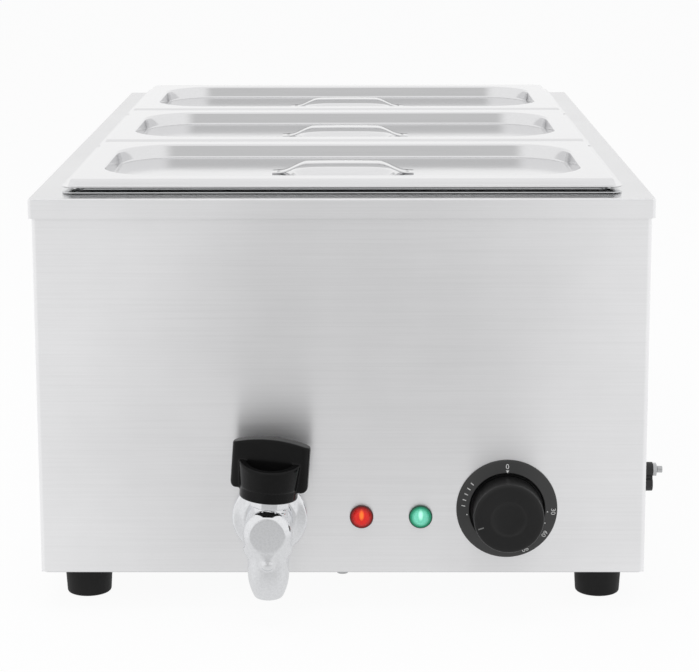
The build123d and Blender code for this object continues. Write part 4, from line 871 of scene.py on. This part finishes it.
pointer_turn = math.radians(251.5)
tree, given = new_tree("pointer", ["Length", "Width", "Height"])
size = add(tree, "CombineXYZ", {"X": given["Width"], "Y": given["Length"], "Z": given["Height"]})
bar = add(tree, "GeometryNodeMeshCube", {"Size": size})
pointer_tree = finish_tree(tree, bar, worn_print)
pointer = grown("pointer_line", pointer_tree, {"Length": 3.4 * MM, "Width": 0.7 * MM, "Height": 0.2 * MM})
pointer.data.transform(Matrix.Translation(Vector((0, 17.1, knob_reach - 0.05)) * MM))
pointer.data.transform(knob_place @ Matrix.Rotation(-pointer_turn, 4, "Z"))
fitted(pointer, "dial_knob", "black_plastic")

# %% [markdown]
# The dial's print is plain: a nought and a small arrow at the top, three numbers and four dots, and a
# short scale of ticks on the left. Geometry Nodes make all of it in one tree, because every mark is
# the same step: make a flat shape, tip it to the ring's slope, push it out to its radius and turn it
# to its angle. The top of each mark points outwards.

# %% Dial print
ring_slope = math.atan2(ring_peak - ring_rim, ring_outer - ring_inner)
numbers = [("0", 0, 25.8), ("30", 93, 27.0), ("60", 124, 26.6), ("90", 156, 26.6)]
dot_turns = [93, 110, 124, 263]
tick_turns = [275, 283, 291, 299, 307]
dot_circle, tick_circle, arrow_circle = 23.6, 25.6, 23.3

print_sizes = {
    "Number height": 4.1 * MM, "Dot radius": 0.42 * MM, "Tick width": 0.5 * MM, "Tick length": 2.2 * MM,
    "Ink": 0.07 * MM,
}
tree, given = new_tree("dial print", print_sizes)
flat_marks = []
for text, turn, radius in numbers:
    letters = add(tree, "GeometryNodeStringToCurves", {"String": text, "Size": given["Number height"]},
                  align_x="CENTER", align_y="MIDDLE")
    real = add(tree, "GeometryNodeRealizeInstances", {"Geometry": letters.outputs["Curve Instances"]})
    flat_marks.append((real, turn, radius))
for turn in dot_turns:
    dot = add(tree, "GeometryNodeCurvePrimitiveCircle", {"Resolution": 16, "Radius": given["Dot radius"]})
    flat_marks.append((dot, turn, dot_circle))
for turn in tick_turns:
    tick = add(tree, "GeometryNodeCurvePrimitiveQuadrilateral", {
        "Width": given["Tick width"], "Height": given["Tick length"],
    })
    flat_marks.append((tick, turn, tick_circle))
arrow = add(tree, "GeometryNodeCurvePrimitiveCircle", {"Resolution": 3, "Radius": 1.1 * MM})
arrow = add(tree, "GeometryNodeTransform", {"Geometry": arrow, "Rotation": (0, 0, math.radians(-90))})
flat_marks.append((arrow, 0, arrow_circle))
gathered = add(tree, "GeometryNodeJoinGeometry")
for outline, turn, radius in flat_marks:
    filled = add(tree, "GeometryNodeFillCurve", {"Curve": outline})
    height = ring_rim + (ring_outer - radius) * (ring_peak - ring_rim) / (ring_outer - ring_inner) - 0.02
    laid = add(tree, "GeometryNodeTransform", {
        "Geometry": filled, "Translation": (0, radius * MM, height * MM),
        "Rotation": (-ring_slope, 0, 0),
    })
    turned_mark = add(tree, "GeometryNodeTransform", {
        "Geometry": laid, "Rotation": (0, 0, math.radians(-turn)),
    })
    tree.links.new(turned_mark.outputs[0], gathered.inputs[0])
thick = add(tree, "GeometryNodeExtrudeMesh", {
    "Mesh": gathered, "Offset Scale": given["Ink"], "Individual": False,
})
dial_tree = finish_tree(tree, thick, print_white)
dial_print = grown("dial_print", dial_tree, print_sizes)
dial_print.data.transform(ring_place)
fitted(dial_print, "cabinet", "black_plastic")
print("the dial print has", len(dial_print.data.polygons), "faces")

# %% [markdown]
# Each lamp lens is a clear coloured dome over a dark rim. The neon lamp behind it shows as a bright
# flame above the middle, and small facets inside the lens break it up. The glow is an emission that
# falls off from that point, and the facets are a cell pattern that both tints and bends the light.

# %% Lamp lenses
def lit_lens(name, place, deep, bright, flame, rim):
    """Coloured lamp plastic with a light behind it, brightest a little above its centre."""
    made, tree, spot = begin(name)
    centre = place @ Vector((0, 0, 3 * MM))
    from_centre = add(tree, "VectorMath", {0: spot, 1: centre}, operation="SUBTRACT")
    plan = add(tree, "VectorMath", {0: from_centre, 1: (1, 0, 1)}, operation="MULTIPLY")
    reach = add(tree, "VectorMath", {0: plan}, operation="LENGTH").outputs["Value"]
    reach = add(tree, "Math", {0: reach, 1: 7.0 * MM}, operation="DIVIDE")
    flame_spot = add(tree, "VectorMath", {0: plan, 1: (0, 0, 1.7 * MM)}, operation="SUBTRACT")
    flame_spot = add(tree, "VectorMath", {0: flame_spot, 1: (1.75, 1, 0.85)}, operation="MULTIPLY")
    heat = add(tree, "VectorMath", {0: flame_spot}, operation="LENGTH").outputs["Value"]
    heat = add(tree, "Math", {0: heat, 1: 3.3 * MM}, operation="DIVIDE")
    cells = add(tree, "TexVoronoi", {"Vector": spot, "Scale": per_metre(1.0), "Randomness": 0.35})
    clear, dim, black = (1, 1, 1, 1), (0.45, 0.45, 0.45, 1), (0, 0, 0, 1)
    facets = add(tree, "ValToRGB", {"Fac": cells}, stops=[(0.1, clear), (0.6, dim)])
    body = add(tree, "ValToRGB", {"Fac": reach}, stops=[
        (0.0, bright), (0.55, bright), (0.78, deep), (0.95, rim),
    ])
    hot = add(tree, "ValToRGB", {"Fac": heat}, stops=[(0.0, flame), (0.35, flame), (0.9, black)])
    glow = body
    for layer, blend in ((facets, "MULTIPLY"), (hot, "ADD")):
        glow = add(tree, "Mix", {
            "Factor": 1.0, 6: glow, 7: layer,
        }, data_type="RGBA", blend_type=blend).outputs[2]
    shaded(tree, body, 0.14, cells, 0.3, 0.0004, Specular_IOR_Level=0.35,
           Emission_Color=glow, Emission_Strength=0.45)
    return made


lens_looks = {
    "red": (tone("#A01512"), tone("#D8231C"), tone("#FFB23A"), tone("#3D0A08")),
    "green": (tone("#2A9A74"), tone("#74D6B8"), tone("#E9FFF6"), tone("#0D3A2B")),
}
for colour, (deep, bright, flame, rim) in lens_looks.items():
    place = on_panel(colour + "_lamp_lens")
    material = lit_lens(colour + "_lamp_plastic", place, deep, bright, flame, rim)
    lens = turned(colour + "_lens", [place], [
        (0.0, 0.0, 0), (6.95, 0.0, 0.2), (6.95, 1.7, 0.5), (6.1, 2.1, 0.4), (5.4, 2.0, 0.3), (4.9, 3.1, 1.0),
        (2.6, 4.1, 1.6), (0.0, 4.2, 0),
    ], material, steps=72)
    fitted(lens, "cabinet", colour + "_lens", colour + "_lamp_lens")
print("the lamps are", ", ".join(lens_looks))

# %% [markdown]
# Nodes with several solids, such as the feet and the screws, are split into their solids by merging
# a copy of the CAD mesh and following its edges. Each solid's box says where one piece belongs.

# %% Solids of a node
def solid_boxes(node):
    """The lowest and highest corner of each separate solid in a CAD node."""
    shape = bmesh.new()
    shape.from_mesh(nodes[node].data)
    bmesh.ops.remove_doubles(shape, verts=shape.verts, dist=1e-6)
    left, boxes = set(shape.verts), []
    while left:
        reached, front = set(), [left.pop()]
        while front:
            vert = front.pop()
            reached.add(vert)
            near = {edge.other_vert(vert) for edge in vert.link_edges} & left
            left -= near
            front.extend(near)
        spots = np.array([tuple(v.co) for v in reached])
        boxes.append((Vector(spots.min(0)), Vector(spots.max(0))))
    shape.free()
    return boxes


# %% Feet
foot_places = [
    Matrix.Translation(Vector(((low.x + high.x) / 2, (low.y + high.y) / 2, low.z)))
    for low, high in solid_boxes("feet")
]
foot_top = (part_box("feet")[1].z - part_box("feet")[0].z) / MM
feet = turned("rubber_feet", foot_places, [
    (0.0, 10.0, 0), (4.6, 10.0, 0.3), (4.6, 0.0, 0.6), (13.2, 0.0, 1.4), (14.5, foot_top - 0.9, 0.3),
    (14.2, foot_top - 0.5, 0.2), (14.2, foot_top, 0), (2.6, foot_top, 0), (2.6, 10.4, 0), (0.0, 10.4, 0),
], rubber, steps=72)
fitted(feet, "cabinet", "foot_rubber", "feet")
print("there are", len(foot_places), "feet")

# %% [markdown]
# Screw heads are alike, so one head with a cross recess is made by a distance formula, and Geometry
# Nodes set a copy on every screw's place, turned by a random angle with a fixed seed, because no two
# screws stop at the same turn.

# %% Screws
def head_distance(radius, height):
    """A domed screw head with a cross recess, its underside at nought."""
    def distance(x, y, z):
        out = np.hypot(x, y)
        dome = np.sqrt(out ** 2 + (z - height + radius * 2.2) ** 2) - radius * 2.2
        head = cut(cut(out - radius, dome, 0.5), -z, 0.1)
        arm = radius * 0.62 - 0.5 * np.maximum(height - z, 0)
        slot = np.maximum(np.minimum(
            np.maximum(np.abs(x) - arm, np.abs(y) - radius * 0.13),
            np.maximum(np.abs(y) - arm, np.abs(x) - radius * 0.13),
        ), height * 0.35 - z)
        return cut(head, -slot, 0.15)
    return distance


tree, given = new_tree("screw heads", [])
tree.interface.new_socket("Head", in_out="INPUT", socket_type="NodeSocketObject")
head_info = add(tree, "GeometryNodeObjectInfo", {"Object": given["Head"], "As Instance": True})
spin = add(tree, "FunctionNodeRandomValue", {
    "Min": (0, 0, 0), "Max": (0, 0, math.tau), "Seed": 7,
}, data_type="FLOAT_VECTOR")
placed = add(tree, "GeometryNodeInstanceOnPoints", {
    "Points": given["Geometry"], "Instance": head_info.outputs["Geometry"], "Rotation": spin,
})
screw_tree = finish_tree(tree, placed, zinc)


def screw_heads(node, radius, height, facing):
    """Cross-recess heads over the plain CAD heads of a node, on the side they face."""
    head = skin_of(node + "_head", head_distance(radius, height), (-radius - 0.3, -radius - 0.3, -0.3),
                   (radius + 0.3, radius + 0.3, height + 0.3), radius / 16, zinc, Matrix.Identity(4))
    turn = Vector((0, 0, 1)).rotation_difference(facing).to_matrix().to_4x4()
    back = turn.inverted()
    spots = []
    for low, high in solid_boxes(node):
        tip = Vector([(h if f > 0 else l) if f else (l + h) / 2 for l, h, f in zip(low, high, facing)])
        spots.append(back @ (tip - facing * (height - 0.12) * MM))
    made = grown(node + "_heads", screw_tree, {"Head": head}, spots)
    made.data.transform(turn)
    made.data.shade_smooth()
    bpy.data.objects.remove(head)
    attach(made, "cabinet")
    return len(spots)


count = screw_heads("rear_screws", 3.3, 1.9, Vector((0, 1, 0)))
count += screw_heads("base_screws", 3.3, 1.9, Vector((0, 0, -1)))
count += screw_heads("foot_screws", 4.3, 2.5, Vector((0, 0, -1)))
print("set", count, "screw heads")

# %% [markdown]
# Small fasteners and fittings keep their CAD shape, but real edges are never quite sharp. A merged
# copy gets a fine bevel on every hard edge, so that each edge draws a thin line of light.

# %% Eased fittings
def eased(node, material, slot, width_mm, body="cabinet"):
    """Puts a copy of a CAD node with bevelled edges in its place."""
    shape = bmesh.new()
    shape.from_mesh(nodes[node].data)
    bmesh.ops.remove_doubles(shape, verts=shape.verts, dist=1e-6)
    bmesh.ops.dissolve_limit(shape, angle_limit=math.radians(1.0), verts=shape.verts, edges=shape.edges)
    made = smooth(node + "_eased", shape, material)
    made.data.set_sharp_from_angle(angle=math.radians(35))
    bevel = made.modifiers.new("edges", "BEVEL")
    bevel.width = width_mm * MM
    bevel.segments = 2
    bevel.limit_method = "ANGLE"
    bevel.angle_limit = math.radians(35)
    bevel.harden_normals = True
    fitted(made, body, slot, node)


eased("bonding_plate", nylon, "black_plastic", 0.5)
eased("bonding_stud", zinc, "zinc_steel", 0.12)
eased("bonding_nuts", zinc, "zinc_steel", 0.25)
eased("cable_gland", nylon, "black_plastic", 0.35)
eased("gland_nut", nylon, "black_plastic", 0.35)

# %% [markdown]
# Every other CAD node keeps its shape and gets the finish of its real making.

# %% Finishes of the CAD pieces
finishes = [
    (cabinet_steel, ["casing", "rear_panel"]),
    (frame_steel, ["top_frame"]),
    (base_steel, ["base_plate"]),
    (tank_steel, ["water_tank", "drain_socket", "element_brackets", "bulb_clip"]),
    (sheath, ["heating_element"]),
    (brass, ["tap_plug", "tap_locknut", "element_nuts"]),
    (copper, ["thermostat_bulb"]),
    (nylon, ["lamp_clips"]),
    (zinc, ["base_screws", "rear_screws", "foot_screws", "foot_nuts"]),
    (zinc, ["thermostat_screws", "thermostat_spindle", "tap_handle_screw"]),
    (silicone, ["tap_seal", "element_seals"]),
    (lamp_case, ["red_lamp_body", "green_lamp_body"]),
    (switch_case, ["thermostat_body", "overheat_cutout"]),
    (terminal_case, ["terminal_block"]),
    (terminal_metal, ["terminal_screws"]),
    (wire_cover, ["wiring"]),
]
for material, names in finishes:
    for name in names:
        nodes[name].data.materials.clear()
        nodes[name].data.materials.append(material)
print("dressed", sum(len(names) for _, names in finishes), "CAD pieces")
